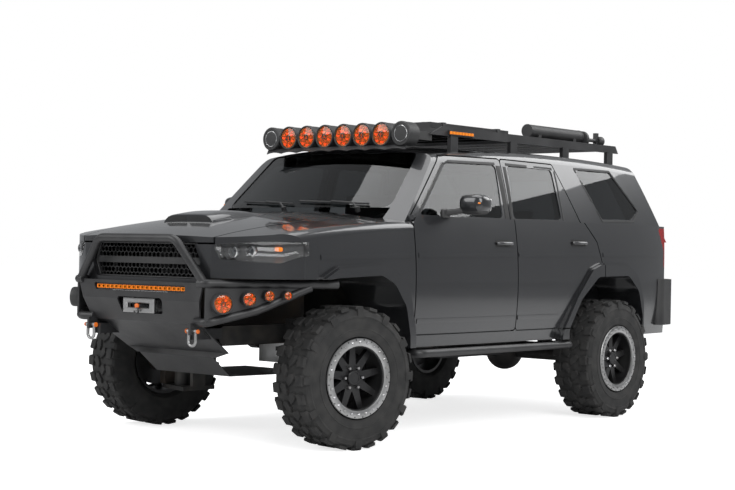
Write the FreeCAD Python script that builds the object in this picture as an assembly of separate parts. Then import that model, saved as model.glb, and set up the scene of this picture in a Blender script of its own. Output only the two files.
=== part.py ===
import FreeCAD, Part
import math
import os

# A lifted off-road estate car on mud-terrain tyres, with a steel winch bumper, rock
# sliders and a roof rack that carries eight round lamps.
# +X is forward, +Y the driver's left, +Z up. The origin is on the ground under the
# middle of the overall length. All sizes are millimetres and degrees.

V = FreeCAD.Vector

# Driving dimensions
WHEELBASE = 2790
FRONT_AXLE_X = 1465
REAR_AXLE_X = FRONT_AXLE_X - WHEELBASE
TRACK_HALF = 856
TYRE_RADIUS = 420
TYRE_WIDTH = 300
BEAD_RADIUS = 216
PARKED_STEER = -10.2
AXLE_Z = TYRE_RADIUS

# Clearances
SEAT_GAP = 0.3
SHUT_GAP = 9
OVERRUN = 40
FAR = 4000

# Body sections: half widths at the sill, waist and belt, and their heights
SILL_Z = 575
WAIST_Z = 1000
BELT_Z = 1385
SILL_HALF = 900
WAIST_HALF = 932
BELT_HALF = 893
NOSE_X = 2310
TAIL_X = -2335
DOOR_FRONT_X = 922
DOOR_SPLIT_X = -155
SKIN = 12
DOOR_DEPTH = 95
FRAME_DEPTH = 55
SHEET = 30

# Cabin stations: place along X and the share of the full half width there
QUARTER_X = -1950
CABIN_STATIONS = ((DOOR_FRONT_X, 1.0), (0, 1.004), (REAR_AXLE_X, 1.0), (QUARTER_X, 0.978), (TAIL_X, 0.925))

# Glasshouse: base and rail half widths, rail drop below the crown
GLASS_BASE_HALF = 884
RAIL_HALF = 762
RAIL_DROP = 108
RAIL_TOP_HALF = 690
RAIL_TOP_DROP = 46
GLASS_FOOT = 120
ROOF_FRONT_X = 1150
ROOF_BROW_X = 560
ROOF_BACK_X = -1800
ROOF_STATIONS = ((ROOF_FRONT_X, 1775, 0.985), (ROOF_BROW_X, 1835, 0.995), (DOOR_SPLIT_X, 1884, 1.0),
                 (REAR_AXLE_X, 1896, 0.995), (ROOF_BACK_X, 1880, 0.98), (TAIL_X, 1840, 0.95))

# Windscreen and tail slopes
SCREEN_BASE_X = 1094
SCREEN_BULGE = 195
SCREEN_RUN = 470
SCREEN_RISE = 440
TAILGLASS_BASE_X = -2275
TAILGLASS_BULGE = 120
TAILGLASS_RUN = 285
TAILGLASS_RISE = 420


def fuse(shapes):
    """One solid from shapes that overlap or touch."""
    joined = shapes[0].multiFuse(list(shapes[1:])) if len(shapes) > 1 else shapes[0]
    return joined.removeSplitter()


def mirrored(shape):
    """The same shape on the car's other side."""
    return shape.mirror(V(0, 0, 0), V(0, 1, 0))


def both(shape):
    """A left piece and its right twin."""
    return [shape, mirrored(shape)]


def corner_arc(before, corner, after, radius):
    """Start, middle and end of the arc that rounds one corner."""
    u = (before - corner).normalize() if (before - corner).Length else V(1, 0, 0)
    v = (after - corner).normalize()
    half = u.getAngle(v) / 2
    run = min(radius / math.tan(half), 0.48 * (before - corner).Length, 0.48 * (after - corner).Length)
    real = run * math.tan(half)
    inward = (u + v).normalize()
    middle = corner + inward * (real / math.sin(half) - real)
    return corner + u * run, middle, corner + v * run


def path_edges(points, radius, closed):
    """Straight runs joined by tangent arcs."""
    edges = []
    count = len(points)
    arcs = {}
    for i in range(count):
        if closed or 0 < i < count - 1:
            before, corner, after = points[i - 1], points[i], points[(i + 1) % count]
            if radius > 0 and (before - corner).getAngle(after - corner) < math.radians(179):
                arcs[i] = corner_arc(before, corner, after, radius)
    for i in range(count if closed else count - 1):
        j = (i + 1) % count
        start = arcs[i][2] if i in arcs else points[i]
        end = arcs[j][0] if j in arcs else points[j]
        if (end - start).Length > 1e-6:
            edges.append(Part.LineSegment(start, end).toShape())
        if j in arcs:
            edges.append(Part.Arc(*arcs[j]).toShape())
    return edges


def outline(points, radius=0):
    """A closed flat wire with rounded corners."""
    return Part.Wire(Part.__sortEdges__(path_edges(points, radius, True)))


def prism_y(points, low, high, radius=0, grow=0):
    """A side-view outline of (x, z) points, carried from y low to y high."""
    wire = outline([V(x, low, z) for x, z in points], radius)
    if grow:
        wire = wire.makeOffset2D(grow)
    return Part.Face(wire).extrude(V(0, high - low, 0))


def prism_x(points, low, high, radius=0, grow=0):
    """A front-view outline of (y, z) points, carried from x low to x high."""
    wire = outline([V(low, y, z) for y, z in points], radius)
    if grow:
        wire = wire.makeOffset2D(grow)
    return Part.Face(wire).extrude(V(high - low, 0, 0))


def prism_z(points, low, high, radius=0, grow=0):
    """A plan outline of (x, y) points, carried from z low to z high."""
    wire = outline([V(x, y, low) for x, y in points], radius)
    if grow:
        wire = wire.makeOffset2D(grow)
    return Part.Face(wire).extrude(V(0, 0, high - low))


def block(x_range, y_range, z_range):
    """A box between two corners."""
    size = [r[1] - r[0] for r in (x_range, y_range, z_range)]
    return Part.makeBox(*size, V(x_range[0], y_range[0], z_range[0]))


def rod(start, end, radius):
    """A round bar between two points."""
    return Part.makeCylinder(radius, (end - start).Length, start, end - start)


def bent_tube(points, radius, bend):
    """A round tube along straight runs and bends."""
    path = Part.Wire(path_edges(points, bend, False))
    start = points[1] - points[0]
    circle = Part.Wire(Part.Circle(points[0], start, radius).toShape())
    return path.makePipeShell([circle], True, False)


def revolved(points, centre, radius=0):
    """A (radius, y) outline turned about the car's cross axis through a centre."""
    wire = outline([V(centre.x + r, centre.y + y, centre.z) for r, y in points], radius)
    return Part.Face(wire).revolve(centre, V(0, 1, 0), 360)


def side_half(z, share, inset=0):
    """Half width of the lower body at a height, on the arc through sill, waist and belt."""
    arc = Part.Circle(V(0, SILL_HALF, SILL_Z), V(0, WAIST_HALF, WAIST_Z), V(0, BELT_HALF, BELT_Z))
    centre = arc.Center
    return (centre.y + math.sqrt(arc.Radius ** 2 - (z - centre.z) ** 2)) * share - inset


def cabin_section(x, share, inset):
    """Closed section of the lower cabin body."""
    low, high = SILL_Z, BELT_Z - inset
    left = [V(x, side_half(z, share, inset), z) for z in (low, (low + high) / 2, high)]
    right = [V(x, -p.y, p.z) for p in left]
    edges = [Part.LineSegment(right[0], left[0]).toShape(), Part.Arc(*left).toShape(),
             Part.LineSegment(left[2], right[2]).toShape(), Part.Arc(*right[::-1]).toShape()]
    return Part.Wire(edges)


def roof_section(x, crown, share, inset):
    """Closed section of the glasshouse: sloped sides, rounded rails and a crowned roof."""
    top = crown - inset
    foot = V(x, GLASS_BASE_HALF * share - inset, BELT_Z - GLASS_FOOT)
    rail = V(x, RAIL_HALF * share - inset, crown - RAIL_DROP)
    shoulder = V(x, RAIL_TOP_HALF * share - inset, crown - RAIL_TOP_DROP - inset)
    bend = V(x, (rail.y + shoulder.y) / 2 + RAIL_DROP * RAIL_ROUND_SHARE,
             (rail.z + shoulder.z) / 2 + RAIL_DROP * RAIL_ROUND_SHARE)
    waist = V(x, (foot.y + rail.y) / 2 + GLASS_CROWN, (foot.z + rail.z) / 2)
    def other(p):
        return V(x, -p.y, p.z)
    edges = [Part.LineSegment(other(foot), foot).toShape(), Part.Arc(foot, waist, rail).toShape(),
             Part.Arc(rail, bend, shoulder).toShape(),
             Part.Arc(shoulder, V(x, 0, top), other(shoulder)).toShape(),
             Part.Arc(other(shoulder), other(bend), other(rail)).toShape(),
             Part.Arc(other(rail), other(waist), other(foot)).toShape()]
    return Part.Wire(edges)


RAIL_ROUND_SHARE = 0.09
GLASS_CROWN = 8


def tail_plan(inset):
    """Plan of the rounded tail, as an upright prism."""
    points = [(FAR, -FAR), (FAR, FAR), (TAIL_CORNER_X, FAR), (TAIL_CORNER_X, BELT_HALF + OVERRUN)]
    back = TAIL_X + inset
    side = WAIST_HALF + OVERRUN
    wire = Part.Wire([
        Part.LineSegment(V(FAR, -side, 0), V(FAR, side, 0)).toShape(),
        Part.LineSegment(V(FAR, side, 0), V(TAIL_SIDE_X, side, 0)).toShape(),
        Part.LineSegment(V(TAIL_SIDE_X, side, 0), V(TAIL_SIDE_X + inset, TAIL_SIDE_HALF - inset, 0)).toShape(),
        Part.Arc(V(TAIL_SIDE_X + inset, TAIL_SIDE_HALF - inset, 0),
                 V(TAIL_CORNER_X + inset, TAIL_CORNER_HALF - inset, 0),
                 V(TAIL_FLAT_X + inset, TAIL_FLAT_HALF - inset, 0)).toShape(),
        Part.Arc(V(TAIL_FLAT_X + inset, TAIL_FLAT_HALF - inset, 0), V(back, 0, 0),
                 V(TAIL_FLAT_X + inset, inset - TAIL_FLAT_HALF, 0)).toShape(),
        Part.Arc(V(TAIL_FLAT_X + inset, inset - TAIL_FLAT_HALF, 0),
                 V(TAIL_CORNER_X + inset, inset - TAIL_CORNER_HALF, 0),
                 V(TAIL_SIDE_X + inset, inset - TAIL_SIDE_HALF, 0)).toShape(),
        Part.LineSegment(V(TAIL_SIDE_X + inset, inset - TAIL_SIDE_HALF, 0), V(TAIL_SIDE_X, -side, 0)).toShape(),
        Part.LineSegment(V(TAIL_SIDE_X, -side, 0), V(FAR, -side, 0)).toShape()])
    return Part.Face(wire).extrude(V(0, 0, FAR))


TAIL_SIDE_X = -2040
TAIL_SIDE_HALF = 925
TAIL_CORNER_X = -2215
TAIL_CORNER_HALF = 838
TAIL_FLAT_X = -2302
TAIL_FLAT_HALF = 640
TAIL_RAKE_Z = 1150


def tail_rake(inset):
    """Side view of the tail, leaning forwards above the lamps."""
    return prism_y([(FAR, 0), (TAIL_X - OVERRUN, 0), (TAIL_X + inset, TAIL_RAKE_Z - inset),
                    (TAILGLASS_BASE_X + inset, BELT_Z - inset), (TAILGLASS_BASE_X + inset, FAR), (FAR, FAR)],
                   -FAR / 4, FAR / 4)


def sloped_end(base_x, bulge, run, rise, sign, inset):
    """Solid behind a curved, sloping end such as the windscreen. sign is 1 at the front."""
    slope = math.hypot(run, rise)
    shift = inset * slope / rise
    side = WAIST_HALF + OVERRUN
    edge_x = base_x - sign * bulge * (side / BELT_HALF) ** 2
    low = V(-sign * run, 0, -sign * sign * rise)
    points = [V(edge_x - sign * shift, -side, BELT_Z), V(base_x - sign * shift, 0, BELT_Z),
              V(edge_x - sign * shift, side, BELT_Z)]
    far = V(-sign * FAR, 0, 0)
    face = Part.Face(Part.Wire([Part.Arc(*points).toShape(),
                                Part.LineSegment(points[2], points[2] + far).toShape(),
                                Part.LineSegment(points[2] + far, points[0] + far).toShape(),
                                Part.LineSegment(points[0] + far, points[0]).toShape()]))
    lean = V(-sign * run, 0, rise)
    face.translate(lean * -1)
    return face.extrude(lean * 3)


def cabin_hull(inset, frame_inset):
    """Outer form of cabin and glasshouse, drawn in by two depths."""
    lower = Part.makeLoft([cabin_section(x, share, inset) for x, share in CABIN_STATIONS], True)
    lower = lower.common(tail_plan(inset)).common(tail_rake(inset))
    upper = Part.makeLoft([roof_section(x, z, share, frame_inset) for x, z, share in ROOF_STATIONS], True)
    upper = upper.common(sloped_end(SCREEN_BASE_X, SCREEN_BULGE, SCREEN_RUN, SCREEN_RISE, 1, frame_inset))
    upper = upper.common(sloped_end(TAILGLASS_BASE_X, TAILGLASS_BULGE, TAILGLASS_RUN, TAILGLASS_RISE, -1, frame_inset))
    return lower, upper


# Door, lid and window outlines, all as (x, z) in the side view unless noted
DOOR_LOW_Z = 655
DOOR_TOP_Z = 1788
DOOR_ROUND = 22
FRAME_INSET = 33
RABBET = 16
UPPER_DEPTH = 52
FRONT_DOOR = ((DOOR_FRONT_X, DOOR_LOW_Z), (DOOR_FRONT_X, 1345), (878, 1392), (495, 1762), (470, DOOR_TOP_Z - 8),
              (DOOR_SPLIT_X + SHUT_GAP / 2, DOOR_TOP_Z), (DOOR_SPLIT_X + SHUT_GAP / 2, DOOR_LOW_Z))
REAR_DOOR_LEFT_X = DOOR_SPLIT_X - SHUT_GAP / 2
REAR_DOOR = ((REAR_DOOR_LEFT_X, DOOR_LOW_Z), (REAR_DOOR_LEFT_X, DOOR_TOP_Z), (-770, DOOR_TOP_Z - 4),
             (-1000, 1392), (-1145, 1250), (-1196, 1110), (-1196, DOOR_LOW_Z))
FRONT_GLASS = ((842, 1392), (478, 1736), (-96, 1748), (-70, 1392))
REAR_GLASS = ((-225, 1750), (-195, 1392), (-770, 1400), (-752, 1748))
QUARTER_GLASS = ((-1050, 1762), (-1545, 1768), (-1860, 1490), (-1740, 1425), (-1310, 1418))
GLASS_ROUND = 30
GLASS_SINK = 6
GLASS_THICK = 5

# Wheel arches as (x from axle, z from axle) of the opening
REAR_ARCH = ((590, -FAR), (574, 225), (420, 430), (205, 585), (-205, 592), (-345, 480), (-402, 300), (-404, -FAR))
FRONT_ARCH = ((-478, -FAR), (-462, 235), (-420, 410), (-310, 545), (-190, 596), (190, 582), (262, 573), (1000, 572),
              (1000, -FAR))
REAR_FLARE = ((690, -FAR), (668, 200), (480, 455), (285, 648), (173, 685), (-195, 680), (-345, 605), (-432, 400),
              (-440, -FAR))
FRONT_FLARE = ((-545, -FAR), (-531, 252), (-488, 447), (-397, 599), (-209, 677), (194, 651), (321, 588), (330, 560),
               (330, -FAR))
ARCH_ROUND = 100
FLARE_OUT = 957
FLARE_ROOT = 850
LINER = 6
LINER_IN = 500
REAR_WELL_IN = 600
WELL_LOW_Z = 640

# Screen and tailgate outlines as (y, z) in the front view
SCREEN = ((-712, 1432), (712, 1432), (632, 1798), (-632, 1798))
TAILGATE = ((-655, 1000), (655, 1000), (690, 1120), (640, 1500), (560, 1812), (-560, 1812), (-640, 1500), (-690, 1120))
TAIL_WINDOW = ((-555, 1425), (555, 1425), (490, 1735), (-490, 1735))
TAILGATE_DEPTH = 60
ROOF_HALF = 655
ROOF_LOW_Z = 1700

# Nose: stations of x, shoulder height, crown height and share of the full half width
NOSE_STATIONS = ((DOOR_FRONT_X, 1348, 1418, 1.0), (1300, 1330, 1396, 0.997), (1800, 1283, 1342, 0.985),
                 (2090, 1240, 1290, 0.965), (2420, 1165, 1205, 0.94))
NOSE_ROUND_HALF = 60
NOSE_CORNER = ((1905, 905), (2190, 730), (2292, 545), (2320, 0))
NOSE_SHELL = 30
HOOD_BACK_X = 1085
HOOD_HALF_BACK = 742
HOOD_HALF_FRONT = 552
HOOD_EDGE_X = 2215
HOOD_GAP = 10
HOOD_SKIN = 22
SCOOP = ((1500, 1372), (1980, 1360), (1930, 1400), (1560, 1436))
SCOOP_HALF = 225
FASCIA_X = 1800
FASCIA_LOW_Z = 950
CORNER_LOW_Z = 992
CORNER_HALF = 520
HEADLAMP = ((552, 1182), (770, 1202), (940, 1202), (940, 1150), (850, 1080), (600, 1098))
HEADLAMP_ROUND = 18
HEADLAMP_BACK_X = 1870
GRILLE = ((-420, 1190), (420, 1190), (470, 1080), (420, 985), (-420, 985), (-470, 1080))
GRILLE_DEPTH = 40

# Chassis
RAIL_IN = 330
RAIL_OUT = 400
RAIL_TALL = 110
RAIL_LINE = ((2080, 655), (1150, 655), (1000, 560), (-850, 560), (-1050, 705), (-1620, 705), (-1780, 640),
             (-2230, 640))
CROSS_XS = (1990, 1080, 300, -800, -1750, -2180)
CROSS_WIDE = 70
CROSS_TALL = 25
FLOOR_Z = 645
FLOOR_THICK = 24
CARGO_Z = 870
MOUNT_RADIUS = 45
MOUNT_XS = (900, 100, -700)
FIREWALL_X = 955
FIREWALL_TOP_Z = 1330

# Wheels and hubs
KINGPIN_Y = 700
STUB_RADIUS = 32
HUB_FIT = 0.05
HUB_RADIUS = 82
TYRE_HALF = TYRE_WIDTH / 2
RIM_OUT = 135
RIM_IN = -118
BARREL_RADIUS = 196
DISC_RADIUS = 160
SPOKES = 9
BALL_HIGH_Z = 565
BALL_LOW_Z = 262
PIN_RADIUS = 11


def turned(shape, centre, degrees):
    """A shape swung about an upright line."""
    return shape.rotate(centre, V(0, 0, 1), degrees)


def lens(shapes, cutter):
    """What several shapes leave after one cut."""
    return [s.cut(cutter) for s in shapes]


def arch(points, axle_x, grow, low_y, high_y):
    """A wheel opening, grown outwards, carried across y."""
    placed = [(axle_x + x, max(AXLE_Z + z, 0)) for x, z in points]
    return prism_y(placed, low_y, high_y, ARCH_ROUND, grow)


def rear_arch(grow=0, low=REAR_WELL_IN, high=WAIST_HALF + OVERRUN):
    """The rear wheel opening."""
    return arch(REAR_ARCH, REAR_AXLE_X, grow, low, high)


def front_arch(grow=0, low=LINER_IN, high=WAIST_HALF + OVERRUN):
    """The front wheel opening."""
    return arch(FRONT_ARCH, FRONT_AXLE_X, grow, low, high)


def hull(inset):
    """The whole cabin form, drawn in by one depth."""
    lower, upper = cabin_hull(inset, inset)
    return lower.fuse(upper)


def side_prism(points, grow, radius, low=0, high=WAIST_HALF + OVERRUN):
    """A side-view outline grown or shrunk, carried outwards from the middle."""
    return prism_y(points, low, high, radius, grow)


def door(points, glass, hulls, at_arch):
    """A door: skin, stepped inner frame, thinner window frame and the cut window."""
    outside = side_prism(points, 0, DOOR_ROUND)
    inside = side_prism(points, -FRAME_INSET, DOOR_ROUND)
    skin = hulls[0].common(outside).cut(hulls["skin"].common(outside))
    inner = hulls["skin"].common(inside)
    for core in hulls["deep"]:
        inner = inner.cut(core)
    thin = hulls["upper"].common(inside).common(block((-FAR, FAR), (0, FAR), (BELT_Z, FAR)))
    shape = fuse([skin, inner.cut(thin)])
    if at_arch:
        shape = shape.cut(rear_arch())
        shape = shape.cut(rear_arch(FRAME_INSET).common(hulls["skin"]))
    return shape.cut(side_prism(glass, 0, GLASS_ROUND))


def pane(points, hulls):
    """Glass that fills a side window."""
    area = side_prism(points, -SEAT_GAP, GLASS_ROUND)
    return hulls["glass"].common(area).cut(hulls["glass_in"].common(area))


def body_side(hulls):
    """The left body side with its pillars, sill, quarter and wheel well."""
    shape = hulls["left"].cut(hulls["frame"]).cut(hulls["nose_over"])
    shape = shape.cut(roof_region(SEAT_GAP))
    for points in (FRONT_DOOR, REAR_DOOR):
        opening = side_prism(points, SHUT_GAP, DOOR_ROUND)
        if points is REAR_DOOR:
            opening = opening.cut(rear_arch(0, 0))
        shape = shape.cut(opening.cut(hulls["rabbet"]))
        hole = side_prism(points, -RABBET, DOOR_ROUND)
        if points is REAR_DOOR:
            hole = hole.cut(rear_arch(RABBET, 0))
        shape = shape.cut(hole)
    shape = shape.cut(side_prism(QUARTER_GLASS, 0, GLASS_ROUND)).cut(rear_arch(0, 0))
    shape = shape.cut(prism_x(SCREEN, 0, FAR, SCREEN_ROUND)).cut(block((DOOR_FRONT_X - SCREEN_BACK, FAR),
        (0, SCREEN[1][0]), (0, SCREEN[0][1])))
    shape = shape.cut(prism_x(TAILGATE, -FAR, TAILGATE_REACH_X, TAIL_ROUND, SHUT_GAP))
    shape = shape.cut(block((-FAR, TAILGATE_REACH_X), (0, TAILGATE[1][0] + SEAT_GAP), (0, TAILGATE[0][1])))
    well = rear_arch(LINER * 3, REAR_WELL_IN - LINER * 3, hull_side_y()).cut(rear_arch(0, REAR_WELL_IN))
    well = well.common(block((-FAR, FAR), (0, FAR), (WELL_LOW_Z, FAR)))
    return fuse([shape, well])


def hull_side_y():
    """How far out the wheel well runs to meet the body side."""
    return WAIST_HALF - FRAME_DEPTH + RABBET


ROOF_END_X = -1850
TAIL_ROOF_HALF = 540
SCREEN_ROUND = 45
SCREEN_BACK = 300
TAIL_ROUND = 60
TAILGATE_REACH_X = -1850


def roof_region(gap):
    """The space that the roof panel fills, narrower between the tail pillars."""
    main = block((ROOF_END_X, FAR), (-ROOF_HALF - gap, ROOF_HALF + gap), (ROOF_LOW_Z, FAR))
    tail = block((-FAR, ROOF_END_X), (-TAIL_ROOF_HALF - gap, TAIL_ROOF_HALF + gap), (ROOF_LOW_Z, FAR))
    return main.fuse(tail)


def roof_panel(hulls):
    """The roof between the rails."""
    shape = hulls[0].common(roof_region(0)).cut(hulls["sheet"])
    shape = shape.cut(prism_x(SCREEN, 0, FAR, SCREEN_ROUND))
    return shape.cut(prism_x(TAILGATE, -FAR, TAILGATE_REACH_X, TAIL_ROUND, SHUT_GAP))


def fixed_glass(hulls):
    """Windscreen and both quarter windows."""
    area = prism_x(SCREEN, ROOF_BROW_X - SCREEN_BACK, FAR, SCREEN_ROUND, -SEAT_GAP)
    screen = hulls["glass"].common(area).cut(hulls["glass_in"])
    return [screen] + both(pane(QUARTER_GLASS, hulls))


def tailgate(hulls):
    """The lid at the back with its window cut, and a spoiler over the glass."""
    outside = prism_x(TAILGATE, -FAR, TAILGATE_REACH_X, TAIL_ROUND)
    inside = prism_x(TAILGATE, -FAR, TAILGATE_REACH_X, TAIL_ROUND, -FRAME_INSET)
    skin = hulls[0].common(outside).cut(hulls["skin"])
    inner = hulls["skin"].common(inside).cut(hulls["frame"])
    shape = fuse([skin, inner])
    return shape.cut(prism_x(TAIL_WINDOW, -FAR, TAILGATE_REACH_X, GLASS_ROUND))


def tail_window(hulls):
    """The lid's glass."""
    area = prism_x(TAIL_WINDOW, -FAR, TAILGATE_REACH_X, GLASS_ROUND, -SEAT_GAP)
    return hulls["glass"].common(area).cut(hulls["glass_in"])


def nose_section(x, shoulder, crown, share, inset):
    """Closed section of the nose: curved sides, rounded shoulders and a crowned top."""
    foot_z = SILL_Z
    foot = V(x, side_half(foot_z, share, inset), foot_z)
    bend_z = shoulder - NOSE_ROUND_HALF
    waist = V(x, side_half((foot_z + bend_z) / 2, share, inset), (foot_z + bend_z) / 2)
    bend = V(x, side_half(bend_z, share, inset), bend_z)
    top = V(x, bend.y - NOSE_ROUND_HALF, shoulder - inset)
    turn = V(x, bend.y - NOSE_ROUND_HALF * 0.25, shoulder - inset - NOSE_ROUND_HALF * 0.28)
    peak = V(x, 0, crown - inset)
    def other(p):
        return V(x, -p.y, p.z)
    return Part.Wire([
        Part.LineSegment(other(foot), foot).toShape(), Part.Arc(foot, waist, bend).toShape(),
        Part.Arc(bend, turn, top).toShape(), Part.Arc(top, peak, other(top)).toShape(),
        Part.Arc(other(top), other(turn), other(bend)).toShape(),
        Part.Arc(other(bend), other(waist), other(foot)).toShape()])


def nose_plan(inset):
    """Plan of the nose, as an upright prism with a rounded front."""
    side = WAIST_HALF + OVERRUN
    pts = [V(x - inset, y - inset * (y > 0), 0) for x, y in NOSE_CORNER]
    wire = Part.Wire([
        Part.LineSegment(V(0, side, 0), V(NOSE_CORNER[0][0] - side + NOSE_CORNER[0][1], side, 0)).toShape(),
        Part.LineSegment(V(NOSE_CORNER[0][0] - side + NOSE_CORNER[0][1], side, 0), pts[0]).toShape(),
        Part.Arc(pts[0], pts[1], pts[2]).toShape(),
        Part.Arc(pts[2], pts[3], V(pts[2].x, -pts[2].y, 0)).toShape(),
        Part.Arc(V(pts[2].x, -pts[2].y, 0), V(pts[1].x, -pts[1].y, 0), V(pts[0].x, -pts[0].y, 0)).toShape(),
        Part.LineSegment(V(pts[0].x, -pts[0].y, 0),
                         V(NOSE_CORNER[0][0] - side + NOSE_CORNER[0][1], -side, 0)).toShape(),
        Part.LineSegment(V(NOSE_CORNER[0][0] - side + NOSE_CORNER[0][1], -side, 0), V(0, -side, 0)).toShape(),
        Part.LineSegment(V(0, -side, 0), V(0, side, 0)).toShape()])
    return Part.Face(wire).extrude(V(0, 0, FAR))


def nose_hull(inset):
    """The form ahead of the doors, drawn in by one depth."""
    shape = Part.makeLoft([nose_section(x, s, c, share, inset) for x, s, c, share in NOSE_STATIONS], True)
    return shape.common(nose_plan(inset))


def hood_outline(gap):
    """Plan of the hood."""
    return prism_z([(HOOD_BACK_X, -HOOD_HALF_BACK), (HOOD_EDGE_X + OVERRUN * 3, -HOOD_HALF_FRONT),
                    (HOOD_EDGE_X + OVERRUN * 3, HOOD_HALF_FRONT), (HOOD_BACK_X, HOOD_HALF_BACK)],
                   FASCIA_LOW_Z, FAR / 2, 0, gap)


def under_hood(z_drop):
    """Everything lower than the hood's front edge."""
    return block((HOOD_EDGE_X - z_drop, FAR), (-FAR / 4, FAR / 4), (0, HEADLAMP[0][1] + 2))


def hood(noses):
    """The hood with its raised scoop."""
    skin = noses[0].cut(noses["hood"]).common(hood_outline(0))
    skin = skin.common(block((0, FAR), (-FAR, FAR), (HEADLAMP[0][1] + HOOD_GAP, FAR)))
    scoop = prism_y(SCOOP, -SCOOP_HALF, SCOOP_HALF, HOOD_SKIN)
    return fuse([skin, scoop.cut(noses["hood"])])


def fender(noses):
    """The left front fender with its wheel liner and flare."""
    shape = noses[0].cut(noses["shell"]).common(block((DOOR_FRONT_X + SHUT_GAP, FASCIA_X), (0, FAR), (0, FAR)))
    shape = shape.cut(hood_outline(HOOD_GAP)).cut(block((0, HOOD_BACK_X + OVERRUN), (0, SCREEN[1][0]), (0, FAR)))
    shape = shape.cut(headlamp_prism(0)).cut(front_arch())
    liner = front_arch(LINER).cut(front_arch(0, 0)).common(noses["shell"])
    liner = liner.common(block((DOOR_FRONT_X + SHUT_GAP, FASCIA_X), (0, FAR), (WELL_LOW_Z, FAR)))
    band = flare(FRONT_FLARE, FRONT_ARCH, FRONT_AXLE_X, noses[0]).common(
        block((DOOR_FRONT_X + SHUT_GAP, FASCIA_X), (0, FAR), (0, FAR)))
    return fuse([shape, liner, band])


def flare(points, opening, axle_x, body):
    """The raised band round a wheel opening, seated on the body."""
    low = arch(points, axle_x, 0, FLARE_ROOT, FLARE_OUT - FLARE_SLOPE)
    high = arch(points, axle_x, -FLARE_SLOPE, FLARE_OUT - FLARE_SLOPE, FLARE_OUT)
    band = fuse([low, high]).cut(arch(opening, axle_x, 0, 0, FAR)).cut(body)
    return band.common(block((-FAR, FAR), (0, FAR), (SILL_Z, FAR)))


FLARE_SLOPE = 14


def headlamp_prism(grow):
    """The left headlamp's outline, seen from the front."""
    return prism_x(HEADLAMP, HEADLAMP_BACK_X, FAR, HEADLAMP_ROUND, grow)


def fascia(noses):
    """The body-coloured front between hood, fenders and bumper."""
    shape = noses[0].common(block((FASCIA_X + SEAT_GAP, FAR), (-FAR, FAR), (FASCIA_LOW_Z, FAR))).cut(noses["shell"])
    over = hood_outline(HOOD_GAP).common(block((0, FAR), (-FAR, FAR), (HEADLAMP[0][1], FAR)))
    shape = shape.cut(over).cut(prism_x(GRILLE, 0, FAR, HEADLAMP_ROUND))
    for lamp in both(headlamp_prism(0)):
        shape = shape.cut(lamp)
    for corner in both(block((0, FAR), (CORNER_HALF, FAR), (0, CORNER_LOW_Z))):
        shape = shape.cut(corner)
    return shape


def headlamps(noses):
    """Both headlamps, following the nose."""
    shell = noses[0].cut(noses["lamp"]).common(headlamp_prism(-SEAT_GAP))
    return both(shell)


def grille(noses):
    """The grille plate, set back in its opening."""
    slab = noses["hood"].cut(noses["grille"]).common(prism_x(GRILLE, 0, FAR, HEADLAMP_ROUND, -SEAT_GAP))
    return slab.common(block((FASCIA_X, FAR), (-FAR, FAR), (0, FAR)))


def rail(y_low, y_high):
    """One frame rail following its kick-ups."""
    high = [(x, z + RAIL_TALL / 2) for x, z in RAIL_LINE]
    low = [(x, z - RAIL_TALL / 2) for x, z in RAIL_LINE[::-1]]
    return prism_y(high + low, y_low, y_high, RAIL_BEND)


RAIL_BEND = 60


def rail_height(x):
    """Middle height of the rails at a station."""
    for (x1, z1), (x2, z2) in zip(RAIL_LINE, RAIL_LINE[1:]):
        if x2 <= x <= x1:
            return z1 + (z2 - z1) * (x1 - x) / (x1 - x2)
    return RAIL_LINE[-1][1]


def ladder_frame():
    """Two rails, cross members, body mounts and front spring towers."""
    parts = [rail(RAIL_IN, RAIL_OUT), rail(-RAIL_OUT, -RAIL_IN)]
    for x in CROSS_XS:
        top = rail_height(x) + RAIL_TALL / 2
        parts.append(block((x - CROSS_WIDE / 2, x + CROSS_WIDE / 2), (-RAIL_IN - 1, RAIL_IN + 1),
                           (top - CROSS_TALL, top)))
    for sign in (-1, 1):
        parts.append(block((1500, 1580), tuple(sorted((sign * (235 + SEAT_GAP), sign * (RAIL_IN + 1)))), (640, 700)))
    for x in MOUNT_XS:
        for sign in (-1, 1):
            y = sign * (RAIL_IN + RAIL_OUT) / 2
            parts.append(rod(V(x, y, rail_height(x)), V(x, y, FLOOR_Z), MOUNT_RADIUS / 2))
    return fuse(parts)


def floor_pan(hulls):
    """Cabin floor, step up to the load floor and firewall, fitted to the body sides."""
    top = [(FIREWALL_X, FLOOR_Z), (-820, FLOOR_Z), (-930, CARGO_Z), (TAIL_X, CARGO_Z)]
    slab = prism_y(top + [(x, z + FLOOR_THICK) for x, z in top[::-1]], -WAIST_HALF, WAIST_HALF)
    wall = block((FIREWALL_X - FLOOR_THICK, FIREWALL_X), (-WAIST_HALF, WAIST_HALF), (FLOOR_Z, FIREWALL_TOP_Z))
    shape = fuse([slab, wall.common(hulls["nose_clear"])]).common(hulls["clear"].fuse(hulls["nose_clear"]).fuse(
        hulls[0].common(block((-FAR, TAILGATE_REACH_X), (-TAILGATE[1][0], TAILGATE[1][0]), (0, FAR)))))
    half = TAILGATE[1][0]
    back = hulls[0].common(block((-FAR, TAILGATE_REACH_X), (-half, half), (SILL_Z + OVERRUN, TAILGATE[0][1] - SHUT_GAP)))
    shape = fuse([shape, back.cut(hulls["sheet"])])
    for well in both(rear_arch(LINER * 3 + SEAT_GAP, REAR_WELL_IN - LINER * 3 - SEAT_GAP)):
        shape = shape.cut(well)
    return shape


def cowl(noses):
    """The trim between hood and windscreen."""
    shape = noses["hood"].cut(noses["shell"]).common(
        block((SCREEN_BASE_X - SCREEN_BULGE + OVERRUN, HOOD_BACK_X - HOOD_GAP),
              (-SCREEN[1][0], SCREEN[1][0]), (FIREWALL_TOP_Z - OVERRUN, FAR)))
    return shape


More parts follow.
